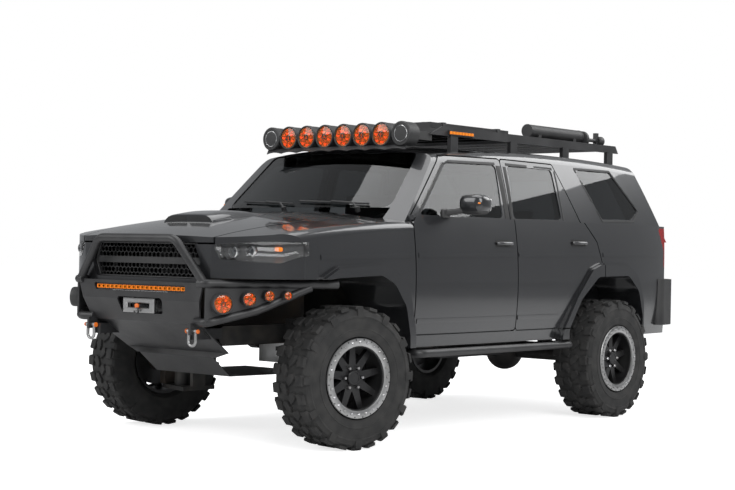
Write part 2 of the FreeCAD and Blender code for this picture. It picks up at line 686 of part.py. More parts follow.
def tyre(centre, out):
    """A tyre with rounded shoulders, open on its bead."""
    r, h, b = TYRE_RADIUS, TYRE_HALF, BEAD_RADIUS + SEAT_GAP * 2
    face = RIM_OUT - RING_THICK - SEAT_GAP
    points = ((b, h * 0.6), (b + SEAT_GAP * 9, face), (b + RING_LIP, face), (b + TYRE_BEAD_TALL * 1.3, h * 0.94),
              (b + TYRE_BEAD_TALL * 3, h), (r - TYRE_SHOULDER, h * 0.97),
              (r - TYRE_CROWN, h * 0.82), (r, h * 0.5), (r, -h * 0.5), (r - TYRE_CROWN, -h * 0.82),
              (r - TYRE_SHOULDER, -h * 0.97), (b + TYRE_BEAD_TALL * 3, -h), (b + TYRE_BEAD_TALL, -h * 0.93),
              (b, -h * 0.6), (b + TYRE_WALL, -h * 0.55), (r - TYRE_TREAD, -h * 0.7), (r - TYRE_TREAD, h * 0.7),
              (b + TYRE_WALL, h * 0.55))
    return revolved([(x, out * y) for x, y in points], centre)


TYRE_BEAD_TALL = 24
TYRE_SHOULDER = 62
TYRE_CROWN = 7
TYRE_WALL = 22
TYRE_TREAD = 36


def rim(centre, out):
    """A spoked wheel with a bead-lock ring, hub and brake disc."""
    seat, wall = BEAD_RADIUS, BARREL_RADIUS
    barrel = revolved([(seat, out * y) for y in (RIM_OUT, RIM_IN)] + [(wall, out * y) for y in (RIM_IN, RIM_OUT)],
                      centre)
    ring = revolved([(seat - BEAD_RING, out * (RIM_OUT - RING_THICK)), (seat + RING_LIP, out * (RIM_OUT - RING_THICK)),
                     (seat + RING_LIP, out * RIM_OUT), (seat - BEAD_RING, out * RIM_OUT)], centre)
    hub = Part.makeCylinder(HUB_RADIUS, HUB_LONG, centre + V(0, out * (HUB_FACE - HUB_LONG), 0), V(0, out, 0))
    disc = Part.makeCylinder(DISC_RADIUS, DISC_THICK, centre + V(0, out * (HUB_FACE - HUB_LONG), 0), V(0, out, 0))
    parts = [barrel, ring, hub, disc]
    for i in range(SPOKES):
        spoke = prism_y([(centre.x - SPOKE_ROOT, centre.z + HUB_RADIUS * 0.7),
                         (centre.x + SPOKE_ROOT, centre.z + HUB_RADIUS * 0.7),
                         (centre.x + SPOKE_TIP, centre.z + (seat + wall) / 2),
                         (centre.x - SPOKE_TIP, centre.z + (seat + wall) / 2)],
                        centre.y + out * (HUB_FACE - SPOKE_THICK), centre.y + out * HUB_FACE)
        parts.append(spoke.rotate(centre, V(0, 1, 0), 360 / SPOKES * i))
    shape = fuse(parts)
    return shape.cut(Part.makeCylinder(STUB_RADIUS + HUB_FIT, FAR, centre - V(0, FAR / 2, 0), V(0, 1, 0)))


BEAD_RING = 34
RING_THICK = 14
RING_LIP = 20
HUB_LONG = 95
HUB_FACE = 78
DISC_THICK = 24
SPOKE_ROOT = 26
SPOKE_TIP = 17
SPOKE_THICK = 34


def knuckle(centre):
    """The left steering knuckle: upright, stub axle and bores for both ball pins."""
    axle_y = centre.y
    upright = block((centre.x - UPRIGHT_HALF, centre.x + UPRIGHT_HALF), (KINGPIN_Y - UPRIGHT_IN, KINGPIN_Y + UPRIGHT_OUT),
                    (BALL_LOW_Z + BALL_GAP, BALL_HIGH_Z - BALL_GAP))
    stub = rod(V(centre.x, KINGPIN_Y, centre.z), V(centre.x, axle_y + HUB_FACE - STUB_SHY, centre.z), STUB_RADIUS)
    carrier = rod(V(centre.x, KINGPIN_Y, centre.z), V(centre.x, axle_y + HUB_FACE - HUB_LONG - SEAT_GAP, centre.z),
                  HUB_RADIUS * 0.8)
    shape = fuse([upright, carrier, stub])
    for low, high in ((0, BALL_LOW_Z + PIN_REACH), (BALL_HIGH_Z - PIN_REACH, FAR)):
        shape = shape.cut(rod(V(centre.x, KINGPIN_Y, low), V(centre.x, KINGPIN_Y, high), PIN_RADIUS + HUB_FIT))
    return shape


UPRIGHT_HALF = 38
UPRIGHT_IN = 34
UPRIGHT_OUT = 26
BALL_GAP = 14
PIN_REACH = 60
STUB_SHY = 12


def front_suspension(centre):
    """Left front arms, ball pins and coil-over, joined at the lower arm."""
    def arm(z, half):
        return prism_z([(centre.x - ARM_BASE, RAIL_OUT - 1 - OVERRUN), (centre.x + ARM_BASE, RAIL_OUT - 1 - OVERRUN),
                        (centre.x + UPRIGHT_HALF, KINGPIN_Y + PIN_RADIUS), (centre.x - UPRIGHT_HALF, KINGPIN_Y + PIN_RADIUS)],
                       z - half, z + half, UPRIGHT_HALF / 2)
    low = arm(BALL_LOW_Z, ARM_THICK / 2)
    high = arm(BALL_HIGH_Z, ARM_THICK / 2)
    mid_y = (RAIL_OUT + KINGPIN_Y) / 2
    coil = rod(V(centre.x, mid_y, BALL_LOW_Z), V(centre.x, mid_y, COIL_TOP_Z), COIL_RADIUS)
    tower = block((centre.x - COIL_RADIUS, centre.x + COIL_RADIUS), (RAIL_OUT + SEAT_GAP, mid_y + COIL_RADIUS),
                  (COIL_TOP_Z, COIL_TOP_Z + ARM_THICK))
    post = block((centre.x - COIL_RADIUS, centre.x + COIL_RADIUS), (RAIL_OUT + SEAT_GAP, RAIL_OUT + ARM_THICK),
                 (BALL_LOW_Z - ARM_THICK / 2, COIL_TOP_Z + ARM_THICK))
    pins = [rod(V(centre.x, KINGPIN_Y, BALL_LOW_Z), V(centre.x, KINGPIN_Y, BALL_LOW_Z + PIN_REACH - 1), PIN_RADIUS),
            rod(V(centre.x, KINGPIN_Y, BALL_HIGH_Z - PIN_REACH + 1), V(centre.x, KINGPIN_Y, BALL_HIGH_Z), PIN_RADIUS)]
    shape = fuse([low, high, coil, tower, post] + pins)
    return shape.cut(block((0, FAR), (0, RAIL_OUT + SEAT_GAP), (0, FAR)))


ARM_BASE = 150
ARM_THICK = 26
COIL_RADIUS = 55
COIL_TOP_Z = 720


def rear_axle():
    """The solid rear axle with its differential bulge and stub ends."""
    centre = V(REAR_AXLE_X, 0, AXLE_Z)
    inner = TRACK_HALF + HUB_FACE - HUB_LONG - SEAT_GAP
    tube = rod(centre - V(0, inner, 0), centre + V(0, inner, 0), AXLE_TUBE)
    stubs = rod(centre - V(0, TRACK_HALF + HUB_FACE - STUB_SHY, 0), centre + V(0, TRACK_HALF + HUB_FACE - STUB_SHY, 0),
                STUB_RADIUS)
    return fuse([tube, stubs, Part.makeSphere(DIFF_RADIUS, centre)])


AXLE_TUBE = 44
DIFF_RADIUS = 138


def rear_springs():
    """Both rear coils, from axle seat to frame."""
    seat_z = AXLE_Z + math.sqrt(AXLE_TUBE ** 2 - 0) + SEAT_GAP
    top = rail_height(REAR_AXLE_X) - RAIL_TALL / 2 - SEAT_GAP
    y = (RAIL_IN + RAIL_OUT) / 2
    return both(rod(V(REAR_AXLE_X, y, seat_z), V(REAR_AXLE_X, y, top), COIL_RADIUS))


def propshafts():
    """Rear propeller shaft from transfer case to axle."""
    start = V(GEARBOX[0][0] - PROP_RADIUS / 5, 0, (GEARBOX[2][0] + GEARBOX[2][1]) / 2)
    end = V(REAR_AXLE_X + DIFF_RADIUS + PROP_RADIUS / 5, 0, AXLE_Z)
    return rod(start, end, PROP_RADIUS)


PROP_RADIUS = 34
ENGINE = ((1180, 1900), (-235, 235), (580, 1130))
GEARBOX = ((180, 1180 - SEAT_GAP), (-150, 150), (440, 585))
TANK = ((-860, -120), (70, 315), (430, 590 - SEAT_GAP))
EXHAUST_RADIUS = 30
MUFFLER_RADIUS = 78


def exhaust():
    """Pipe, silencer and tail pipe on the right."""
    y = -(RAIL_IN + MUFFLER_RADIUS * 0) * 0.66
    pipe = bent_tube([V(900, y, 540), V(-900, y, 540), V(-1120, y, 620), V(-1650, y, 620), V(-1920, y, 530),
                      V(-2100, -520, 530), V(-2340, -560, 530)], EXHAUST_RADIUS, 120)
    silencer = rod(V(-250, y, 540), V(-760, y, 540), MUFFLER_RADIUS)
    return fuse([pipe, silencer])


def seat(x_back, y_low, y_high, top_z):
    """A seat: cushion, back and head rests as one plain form."""
    low = FLOOR_Z + FLOOR_THICK + SEAT_GAP
    side = [(x_back - 60, low + 220), (x_back - 150, top_z - 190), (x_back - 175, top_z), (x_back - 75, top_z),
            (x_back + 40, low + 310), (x_back + 440, low + 335), (x_back + 470, low + 260), (x_back + 420, low),
            (x_back - 20, low)]
    return prism_y(side, y_low, y_high, 30)


def front_bumper():
    """Folded steel bumper plate with lamp slot and winch mouth."""
    outer = [(x, z) for x, z, half in BUMPER_FOLDS]
    inner = [(x - BUMPER_PLATE, z) for x, z in outer[::-1]]
    plate = prism_y(outer + inner, -BUMPER_WIDE, BUMPER_WIDE)
    front = [(-half, z) for x, z, half in BUMPER_FOLDS] + [(half, z) for x, z, half in BUMPER_FOLDS[::-1]]
    plate = plate.common(prism_x(front, 0, FAR))
    plate = plate.cut(prism_x(WINCH_MOUTH, 0, FAR, 20))
    plate = plate.cut(prism_x(LAMP_SLOT, 0, FAR, 14))
    arms = [block((2080 + SEAT_GAP, 2292 + 20), (sign * 400 - 30, sign * 400 + 30), (640, 700)) for sign in (-1, 1)]
    wings = both(wing())
    for lug in both(block((2240, 2348), (432, 450), (668, 735))):
        arms.append(lug.cut(rod(V(2325, -FAR, 690), V(2325, FAR, 690), 10 + SEAT_GAP)))
    return fuse([plate] + arms + wings + tubes())


BUMPER_FOLDS = ((2345, 964, 540), (2338, 856, 505), (2292, 727, 465), (2034, 553, 432), (2047, 523, 339))
BUMPER_PLATE = 12
BUMPER_WIDE = 560
WINCH_MOUTH = ((-200, 868), (200, 868), (175, 775), (-175, 775))
LAMP_SLOT = ((-400, 945), (400, 945), (385, 905), (-385, 905))
TUBE_RADIUS = 25


def wing():
    """The left swept plate that carries the side lamps."""
    plan = [(2335, 546), (1790, 846), (1794, 857), (2339, 557)]
    return prism_z(plan, 700, 975).common(prism_y([(2345, 962), (1790, 955), (1790, 938), (2070, 812), (2345, 735)],
                                                  0, FAR))


def tubes():
    """Hoop over the grille, upper side tubes and low tubes."""
    hoop = bent_tube([V(2330, -544, 955), V(2368, -330, 1213), V(2368, 330, 1213), V(2330, 544, 955)], TUBE_RADIUS, 90)
    uppers = both(bent_tube([V(2335, 500, 962), V(2335, 560, 962), V(1640, 925, 962)],
                            TUBE_RADIUS, 60))
    lowers = both(bent_tube([V(2300, 440, 741), V(2325, 555, 741), V(2070, 698, 812), V(1790, 850, 945)],
                            TUBE_RADIUS, 60))
    return [hoop] + uppers + lowers


def skid_plate():
    """Folded plate under the engine."""
    line = ((2040, 520), (1900, 405), (1130, 395))
    return prism_y(list(line) + [(x, z + BUMPER_PLATE * 0.22) for x, z in line[::-1]], -320, 320)


def winch():
    """Drum, end housings and tie plate behind the winch mouth."""
    drum = rod(V(2235, -140, 815), V(2235, 140, 815), 40)
    ends = [rod(V(2235, sign * 120, 815), V(2235, sign * 245, 815), 62) for sign in (-1, 1)]
    tray = block((2180, 2275), (-245, 245), (735, 760))
    return fuse([drum] + ends + [tray])


def bumper_lamps():
    """Side lamps on the wings."""
    lamps = []
    aim = V(300, 545, 0).normalize()
    for x, z, r, off in ((2262, 850, 60, 0), (2128, 878, 42, 0), (2025, 897, 33, 0), (1935, 900, 26, 20)):
        base = V(x, 557 + (2339 - x) * 0.5505, z) + aim * (SEAT_GAP + off)
        lamps += both(rod(base, base + aim * 46, r))
    return lamps


def shackle():
    """A recovery eye: a lug through the plate and a ring below it."""
    x, y, z = 2325, 441, 690
    bow = bent_tube([V(x, y - 26, z + 10), V(x, y - 30, z - 82), V(x, y + 30, z - 82), V(x, y + 26, z + 10)], 9, 28)
    pin = rod(V(x, y - 40, z), V(x, y + 40, z), 10)
    return fuse([bow, pin])


def rock_slider():
    """Left slider: outer tube, lower rail and legs to the frame."""
    tube = bent_tube([V(920, 790, 535), V(865, 930, 535), V(-800, 930, 535), V(-870, 800, 535)], TUBE_RADIUS, 50)
    inner = rod(V(890, 830, 535), V(-850, 830, 535), TUBE_RADIUS)
    legs = [rod(V(x, RAIL_OUT + SEAT_GAP, 535), V(x, 840, 535), TUBE_RADIUS * 0.8) for x in (700, 50, -600)]
    steps = [rod(V(x, 830, 535), V(x, 930, 535), TUBE_RADIUS * 0.7) for x in (780, 450, -250, -720)]
    return fuse([tube, inner] + legs + steps)


def roof_rack(hulls):
    """Side plates, cross slats and feet on the roof rails."""
    plates = [prism_y([(430, 1925), (300, 1985), (-1840, 1985), (-1880, 1930)], sign * 622 - 6, sign * 622 + 6)
              for sign in (-1, 1)]
    slats = [block((x - 30, x + 30), (-618, 618), (1948, 1972)) for x in range(-1800, 301, 210)]
    feet = [block((x - 40, x + 40), (sign * 622 - 14, sign * 622 + 14), (ROOF_LOW_Z, 1935)).cut(hulls["over"])
            for x in (180, -500, -1150, -1750) for sign in (-1, 1)]
    return fuse(plates + slats + feet)


def roof_lamps():
    """A row of eight round lamps on one bar."""
    bar = rod(V(560, -640, 1905), V(560, 640, 1905), 18)
    lamps = [rod(V(565, (i - 3.5) * 164, 1916), V(655, (i - 3.5) * 164, 1916), 78) for i in range(8)]
    ends = [block((395, 575), (sign * 608 - 7, sign * 608 + 7), (1885, 1940)) for sign in (-1, 1)]
    return fuse([bar] + lamps + ends)


def canister():
    """A long round canister in clamps on the rack's left."""
    body = rod(V(-800, 540, 2035), V(-1450, 540, 2035), 46)
    clamps = [block((x - 18, x + 18), (500, 580), (1972 + SEAT_GAP, 2040)) for x in (-900, -1350)]
    return fuse([body] + clamps)


def rear_bumper(hulls):
    """Bumper cover across the tail."""
    plan = [(-2225, -912), (-2020, -940), (-2020, 940), (-2225, 912), (-2365, 780), (-2410, 0), (-2365, -780)]
    shape = prism_z(plan, 640, 985, 60)
    side = prism_y([(-2500, 1000), (-1980, 1000), (-1840, 600), (-2240, 645), (-2500, 720)], -FAR / 4, FAR / 4)
    return shape.common(side).cut(hulls["over"]).cut(block((-2235, 0), (-FAR, FAR), (0, CARGO_Z)).common(
        block((-FAR, FAR), (-850, 850), (0, FAR))))


def mirror():
    """Left door mirror with its foot."""
    head = block((430, 560), (960, 1150), (1395, 1530))
    head = head.makeFillet(30, head.Edges)
    foot = prism_x([(880, 1400), (905, 1370), (1010, 1400), (1010, 1440), (880, 1440)], 560, 640)
    arm = prism_x([(930, 1405), (1010, 1405), (1010, 1450), (930, 1450)], 500, 600)
    return fuse([head, arm, foot])


def steering_wheel():
    """Ring, boss and column."""
    centre = V(480, 370, 1230)
    axis = V(-0.92, 0, 0.39)
    ring = Part.makeTorus(180, 15, centre, axis)
    boss = rod(centre - axis * 50, centre + axis * 8, 60)
    column = rod(centre - axis * 40, centre - axis * 200, 28)
    arms = [rod(centre, centre + V(0, sign, 0) * 180, 13) for sign in (-1, 1)]
    return fuse([ring, boss, column] + arms)


def dashboard():
    """Plain dashboard form under the windscreen."""
    shape = prism_y([(FIREWALL_X - FLOOR_THICK - SEAT_GAP, 1040), (FIREWALL_X - FLOOR_THICK - SEAT_GAP, 1325),
                     (760, 1330), (650, 1260), (690, 1040)], -720, 720, 30)
    centre = V(480, 370, 1230)
    axis = V(-0.92, 0, 0.39)
    return shape.cut(rod(centre, centre - axis * 420, 28 + SEAT_GAP))


def tail_lamps(hulls, grow):
    """The left tail lamp on the rear corner, or the recess for it."""
    points = [(TAIL_X - OVERRUN, 1070), (TAIL_X - OVERRUN, 1370), (-2085, 1370), (-2150, 1200), (-2130, 1070)]
    area = prism_y(points, TAILGATE[1][0] + OVERRUN, FAR, LAMP_ROUND, grow)
    return hulls[0].common(area).cut(hulls["sheet"])


LAMP_ROUND = 20


def build_hulls():
    """All depths of the cabin form that the panels need."""
    depths = {0: 0, "skin": SKIN, "rabbet": SKIN + SHUT_GAP / 2 + 2, "glass": GLASS_SINK,
              "glass_in": GLASS_SINK + GLASS_THICK, "sheet": SHEET, "upper": UPPER_DEPTH, "frame": FRAME_DEPTH,
              "clear": FRAME_DEPTH + SEAT_GAP, "over": -SEAT_GAP}
    hulls = {name: hull(depth) for name, depth in depths.items()}
    hulls["deep"] = cabin_hull(DOOR_DEPTH, DOOR_DEPTH)
    hulls["left"] = hulls[0].common(block((-FAR, FAR), (0, FAR), (0, FAR)))
    return hulls


def main():
    """Build each piece and save it."""
    os.makedirs("parts", exist_ok=True)
    hulls = build_hulls()
    noses = {0: nose_hull(0), "hood": nose_hull(HOOD_SKIN), "shell": nose_hull(NOSE_SHELL),
             "lamp": nose_hull(GRILLE_DEPTH), "grille": nose_hull(GRILLE_DEPTH + HOOD_SKIN)}
    hulls["nose_clear"] = nose_hull(NOSE_SHELL + SEAT_GAP)
    hulls["nose_over"] = nose_hull(-SEAT_GAP)
    side = body_side(hulls)
    lamp = tail_lamps(hulls, -SEAT_GAP)
    side = side.cut(tail_lamps(hulls, 0))
    rear_flare = flare(REAR_FLARE, REAR_ARCH, REAR_AXLE_X, hulls["left"])
    side = fuse([side, rear_flare.cut(side_prism(REAR_DOOR, SHUT_GAP, DOOR_ROUND, 0, FAR))])
    front = door(FRONT_DOOR, FRONT_GLASS, hulls, False)
    rear = door(REAR_DOOR, REAR_GLASS, hulls, True)
    rear = fuse([rear, rear_flare.common(side_prism(REAR_DOOR, 0, DOOR_ROUND, 0, FAR))])
    parts = {"body_side_left": [side], "body_side_right": [mirrored(side)], "roof_panel": [roof_panel(hulls)],
             "fixed_glass": fixed_glass(hulls), "floor_pan": [floor_pan(hulls)], "tail_lamps": both(lamp),
             "tailgate": [tailgate(hulls)], "tailgate_glass": [tail_window(hulls)],
             "hood": [hood(noses)], "front_fascia": [fascia(noses)], "headlamps": headlamps(noses),
             "grille": [grille(noses)], "cowl": [cowl(noses)]}
    left_fender = fender(noses)
    panels = {"front_fender": left_fender, "front_door": front, "rear_door": rear,
              "front_door_glass": pane(FRONT_GLASS, hulls), "rear_door_glass": pane(REAR_GLASS, hulls),
              "mirror": mirror().cut(hulls[0])}
    for name, shape in panels.items():
        parts[name + "_left"] = [shape]
        parts[name + "_right"] = [mirrored(shape)]
    front_left = V(FRONT_AXLE_X, TRACK_HALF, AXLE_Z)
    kingpin = V(FRONT_AXLE_X, KINGPIN_Y, 0)
    for name, x in (("front", FRONT_AXLE_X), ("rear", REAR_AXLE_X)):
        for side_name, out in (("left", 1), ("right", -1)):
            centre = V(x, out * TRACK_HALF, AXLE_Z)
            for piece, shape in (("tyre", tyre(centre, out)), ("rim", rim(centre, out))):
                if name == "front":
                    shape = turned(shape, V(kingpin.x, out * kingpin.y, 0), PARKED_STEER)
                parts[piece + "_" + name + "_" + side_name] = [shape]
    upright = knuckle(front_left)
    parts["knuckle_left"] = [turned(upright.copy(), kingpin, PARKED_STEER)]
    parts["knuckle_right"] = [turned(mirrored(upright), V(kingpin.x, -kingpin.y, 0), PARKED_STEER)]
    parts["front_suspension"] = both(front_suspension(front_left))
    parts["ladder_frame"] = [ladder_frame()]
    parts["rear_axle"] = [rear_axle()]
    parts["rear_springs"] = rear_springs()
    parts["propshaft"] = [propshafts()]
    parts["engine_block"] = [block(*ENGINE)]
    parts["gearbox"] = [block(*GEARBOX)]
    parts["fuel_tank"] = [block(*TANK)]
    parts["exhaust"] = [exhaust()]
    parts["front_seats"] = both(seat(-70, 130, 640, 1600))
    parts["rear_seat"] = [seat(-640, -640, 640, 1500)]
    parts["dashboard"] = [dashboard()]
    parts["steering_wheel"] = [steering_wheel()]
    parts["front_bumper"] = [front_bumper()]
    parts["winch"] = [winch()]
    parts["bumper_lamps"] = bumper_lamps()
    parts["recovery_shackles"] = both(shackle())
    parts["skid_plate"] = [skid_plate()]
    parts["rock_sliders"] = both(rock_slider())
    parts["roof_rack"] = [roof_rack(hulls)]
    parts["roof_lamps"] = [roof_lamps()]
    parts["rack_panel"] = [block((-620, 270), (-500, 500), (1972 + SEAT_GAP, 2022))]
    parts["rack_canister"] = [canister()]
    parts["rear_bumper"] = [rear_bumper(hulls)]
    for name, solids in parts.items():
        shape = solids[0] if len(solids) == 1 else Part.makeCompound(solids)
        if len(solids) == 1 and len(shape.Solids) > 1:
            shape = max(shape.Solids, key=lambda solid: solid.Volume)
        count = len(shape.Solids)
        if count != len(solids) or not shape.isValid():
            print(name, "solids", count, "wanted", len(solids), "valid", shape.isValid(),
                  [round(s.Volume / 1e6, 3) for s in shape.Solids])
        shape.exportStep("parts/" + name + ".step")
    print(len(parts), "nodes")


if __name__ == "__main__":
    main()
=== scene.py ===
import logging
import math
from dataclasses import dataclass, field
from enum import Enum
from typing import Iterable, Sequence

import bmesh
import bpy
from mathutils import Matrix, Vector
from mathutils.bvhtree import BVHTree


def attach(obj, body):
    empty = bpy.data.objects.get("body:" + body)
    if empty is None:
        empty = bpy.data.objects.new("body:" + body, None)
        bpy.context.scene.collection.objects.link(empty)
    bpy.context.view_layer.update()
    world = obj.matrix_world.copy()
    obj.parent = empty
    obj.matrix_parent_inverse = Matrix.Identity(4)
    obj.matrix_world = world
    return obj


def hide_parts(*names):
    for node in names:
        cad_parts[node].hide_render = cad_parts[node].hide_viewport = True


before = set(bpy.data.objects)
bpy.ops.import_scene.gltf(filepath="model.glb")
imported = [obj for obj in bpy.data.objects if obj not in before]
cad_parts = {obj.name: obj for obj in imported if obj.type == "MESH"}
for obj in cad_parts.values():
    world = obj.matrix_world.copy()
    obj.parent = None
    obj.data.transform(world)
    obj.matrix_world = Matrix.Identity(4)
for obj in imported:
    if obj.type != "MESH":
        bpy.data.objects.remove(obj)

LOG = logging.getLogger("offroader")
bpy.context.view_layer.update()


class Nodes:
    """A short hand for one material's node tree."""

    def __init__(self, name: str) -> None:
        """Makes an empty tree with an output.

        Args:
            name: The material's name.
        """
        self.material = bpy.data.materials.new(name)
        self.material.use_nodes = True
        self.tree = self.material.node_tree
        self.tree.nodes.clear()
        self.output = self.tree.nodes.new("ShaderNodeOutputMaterial")

    def add(self, kind: str, **values: object) -> bpy.types.Node:
        """Adds a node and sets its inputs or properties.

        Args:
            kind: The node's type without its ShaderNode prefix.
            **values: Input values by name, with spaces as underscores, or properties.

        Returns:
            The new node.
        """
        node = self.tree.nodes.new("ShaderNode" + kind)
        for key, value in values.items():
            label = key.replace("_", " ")
            if label in node.inputs:
                node.inputs[label].default_value = value
            else:
                setattr(node, key, value)
        return node

    def link(self, source: bpy.types.NodeSocket, target: bpy.types.NodeSocket) -> None:
        """Joins two sockets."""
        self.tree.links.new(source, target)

    def place(self, scale: Sequence[float] = (1.0, 1.0, 1.0)) -> bpy.types.NodeSocket:
        """Object coordinates, stretched.

        Args:
            scale: The stretch along each axis.

        Returns:
            The vector socket.
        """
        coordinates = self.add("TexCoord")
        mapping = self.add("Mapping")
        mapping.inputs["Scale"].default_value = scale
        self.link(coordinates.outputs["Object"], mapping.inputs["Vector"])
        return mapping.outputs["Vector"]

    def noise(self, scale: float, detail: float = 3.0,
              stretch: Sequence[float] = (1.0, 1.0, 1.0)) -> bpy.types.NodeSocket:
        """A noise in the object's own place.

        Args:
            scale: Cells per metre.
            detail: Octaves.
            stretch: The stretch along each axis.

        Returns:
            The noise's factor socket.
        """
        texture = self.add("TexNoise", Scale=scale, Detail=detail)
        self.link(self.place(stretch), texture.inputs["Vector"])
        return texture.outputs["Fac"]

    def ramp(self, factor: bpy.types.NodeSocket, stops: Sequence[tuple[float, Sequence[float]]]
             ) -> bpy.types.NodeSocket:
        """Colours along a factor.

        Args:
            factor: What drives the ramp.
            stops: Places from 0 to 1 with their colours.

        Returns:
            The colour socket.
        """
        ramp = self.add("ValToRGB")
        elements = ramp.color_ramp.elements
        while len(elements) < len(stops):
            elements.new(0.5)
        for element, (place, colour) in zip(elements, stops):
            element.position = place
            element.color = (*colour, 1.0)
        self.link(factor, ramp.inputs["Fac"])
        return ramp.outputs["Color"]

    def spread(self, factor: bpy.types.NodeSocket, low: float, high: float) -> bpy.types.NodeSocket:
        """Maps a factor from 0 to 1 onto a range.

        Args:
            factor: What drives the range.
            low: The value at 0.
            high: The value at 1.

        Returns:
            The value socket.
        """
        node = self.add("MapRange")
        node.inputs["To Min"].default_value = low
        node.inputs["To Max"].default_value = high
        self.link(factor, node.inputs["Value"])
        return node.outputs["Result"]

    def bump(self, height: bpy.types.NodeSocket, distance: float, strength: float = 1.0
             ) -> bpy.types.NodeSocket:
        """A bumped normal.

        Args:
            height: What drives the bump.
            distance: Its depth in metres.
            strength: Its share.

        Returns:
            The normal socket.
        """
        node = self.add("Bump", Distance=distance, Strength=strength)
        self.link(height, node.inputs["Height"])
        return node.outputs["Normal"]

    def surface(self, **values: object) -> bpy.types.Node:
        """Adds the main shader and joins it to the output.

        Args:
            **values: Input values by name, with spaces as underscores.

        Returns:
            The shader node.
        """
        shader = self.add("BsdfPrincipled", **values)
        self.link(shader.outputs["BSDF"], self.output.inputs["Surface"])
        return shader


@dataclass(frozen=True)
class Paint:
    """Metallic body paint under clear lacquer."""

    name: str
    colour: tuple[float, float, float]
    dark: tuple[float, float, float]
    metal: float = 0.55
    flake: float = 1500.0

    def build(self) -> bpy.types.Material:
        """Makes the material."""
        n = Nodes(self.name)
        flakes = n.noise(self.flake, 1.0)
        shader = n.surface(Metallic=self.metal, Coat_Weight=1.0, Coat_Roughness=0.03)
        n.link(n.ramp(flakes, ((0.35, self.dark), (0.65, self.colour))), shader.inputs["Base Color"])
        n.link(n.spread(n.noise(3.0), 0.26, 0.36), shader.inputs["Roughness"])
        n.link(n.bump(n.noise(420.0, 1.0), 0.0001, 0.05), shader.inputs["Coat Normal"])
        return n.material


@dataclass(frozen=True)
class Coating:
    """Powder coat, cast iron, moulded plastic or rubber: one fine grain over broad wear."""

    name: str
    colour: tuple[float, float, float]
    worn: tuple[float, float, float]
    rough: tuple[float, float]
    grain: float = 900.0
    depth: float = 0.0002
    metal: float = 0.0
    patch: float = 5.0

    def build(self) -> bpy.types.Material:
        """Makes the material."""
        n = Nodes(self.name)
        shader = n.surface(Metallic=self.metal)
        wear = n.noise(self.patch, 6.0)
        n.link(n.ramp(wear, ((0.4, self.colour), (0.72, self.worn))), shader.inputs["Base Color"])
        n.link(n.spread(n.noise(self.patch * 4), *self.rough), shader.inputs["Roughness"])
        n.link(n.bump(n.noise(self.grain, 2.0), self.depth, 0.5), shader.inputs["Normal"])
        return n.material


@dataclass(frozen=True)
class Glass:
    """Clear or tinted glass and lamp lenses."""

    name: str
    colour: tuple[float, float, float]
    rough: float = 0.02
    clear: float = 1.0
    glow: float = 0.0
    bend: float = 1.45
    coat: float = 0.0

    def build(self) -> bpy.types.Material:
        """Makes the material."""
        n = Nodes(self.name)
        shader = n.surface(Roughness=self.rough, Transmission_Weight=self.clear, IOR=self.bend,
                           Emission_Strength=self.glow, Coat_Weight=self.coat)
        shader.inputs["Emission Color"].default_value = (*self.colour, 1.0)
        dust = n.noise(9.0, 5.0)
        faint = tuple(min(1.0, c * 1.04 + 0.002) for c in self.colour)
        n.link(n.ramp(dust, ((0.3, self.colour), (0.8, faint))), shader.inputs["Base Color"])
        return n.material


@dataclass(frozen=True)
class Cloth:
    """Woven seat fabric."""

    name: str
    colour: tuple[float, float, float]
    thread: tuple[float, float, float]
    pitch: float = 700.0

    def build(self) -> bpy.types.Material:
        """Makes the material."""
        n = Nodes(self.name)
        shader = n.surface(Roughness=0.9, Sheen_Weight=0.3, Sheen_Roughness=0.5)
        waves = []
        for axis in ("X", "Z"):
            wave = n.add("TexWave", Scale=self.pitch, bands_direction=axis)
            n.link(n.place(), wave.inputs["Vector"])
            waves.append(wave.outputs["Fac"])
        weave = n.add("Math", operation="MAXIMUM")
        n.link(waves[0], weave.inputs[0])
        n.link(waves[1], weave.inputs[1])
        n.link(n.ramp(weave.outputs[0], ((0.3, self.colour), (0.9, self.thread))), shader.inputs["Base Color"])
        n.link(n.bump(weave.outputs[0], 0.0004, 0.6), shader.inputs["Normal"])
        return n.material


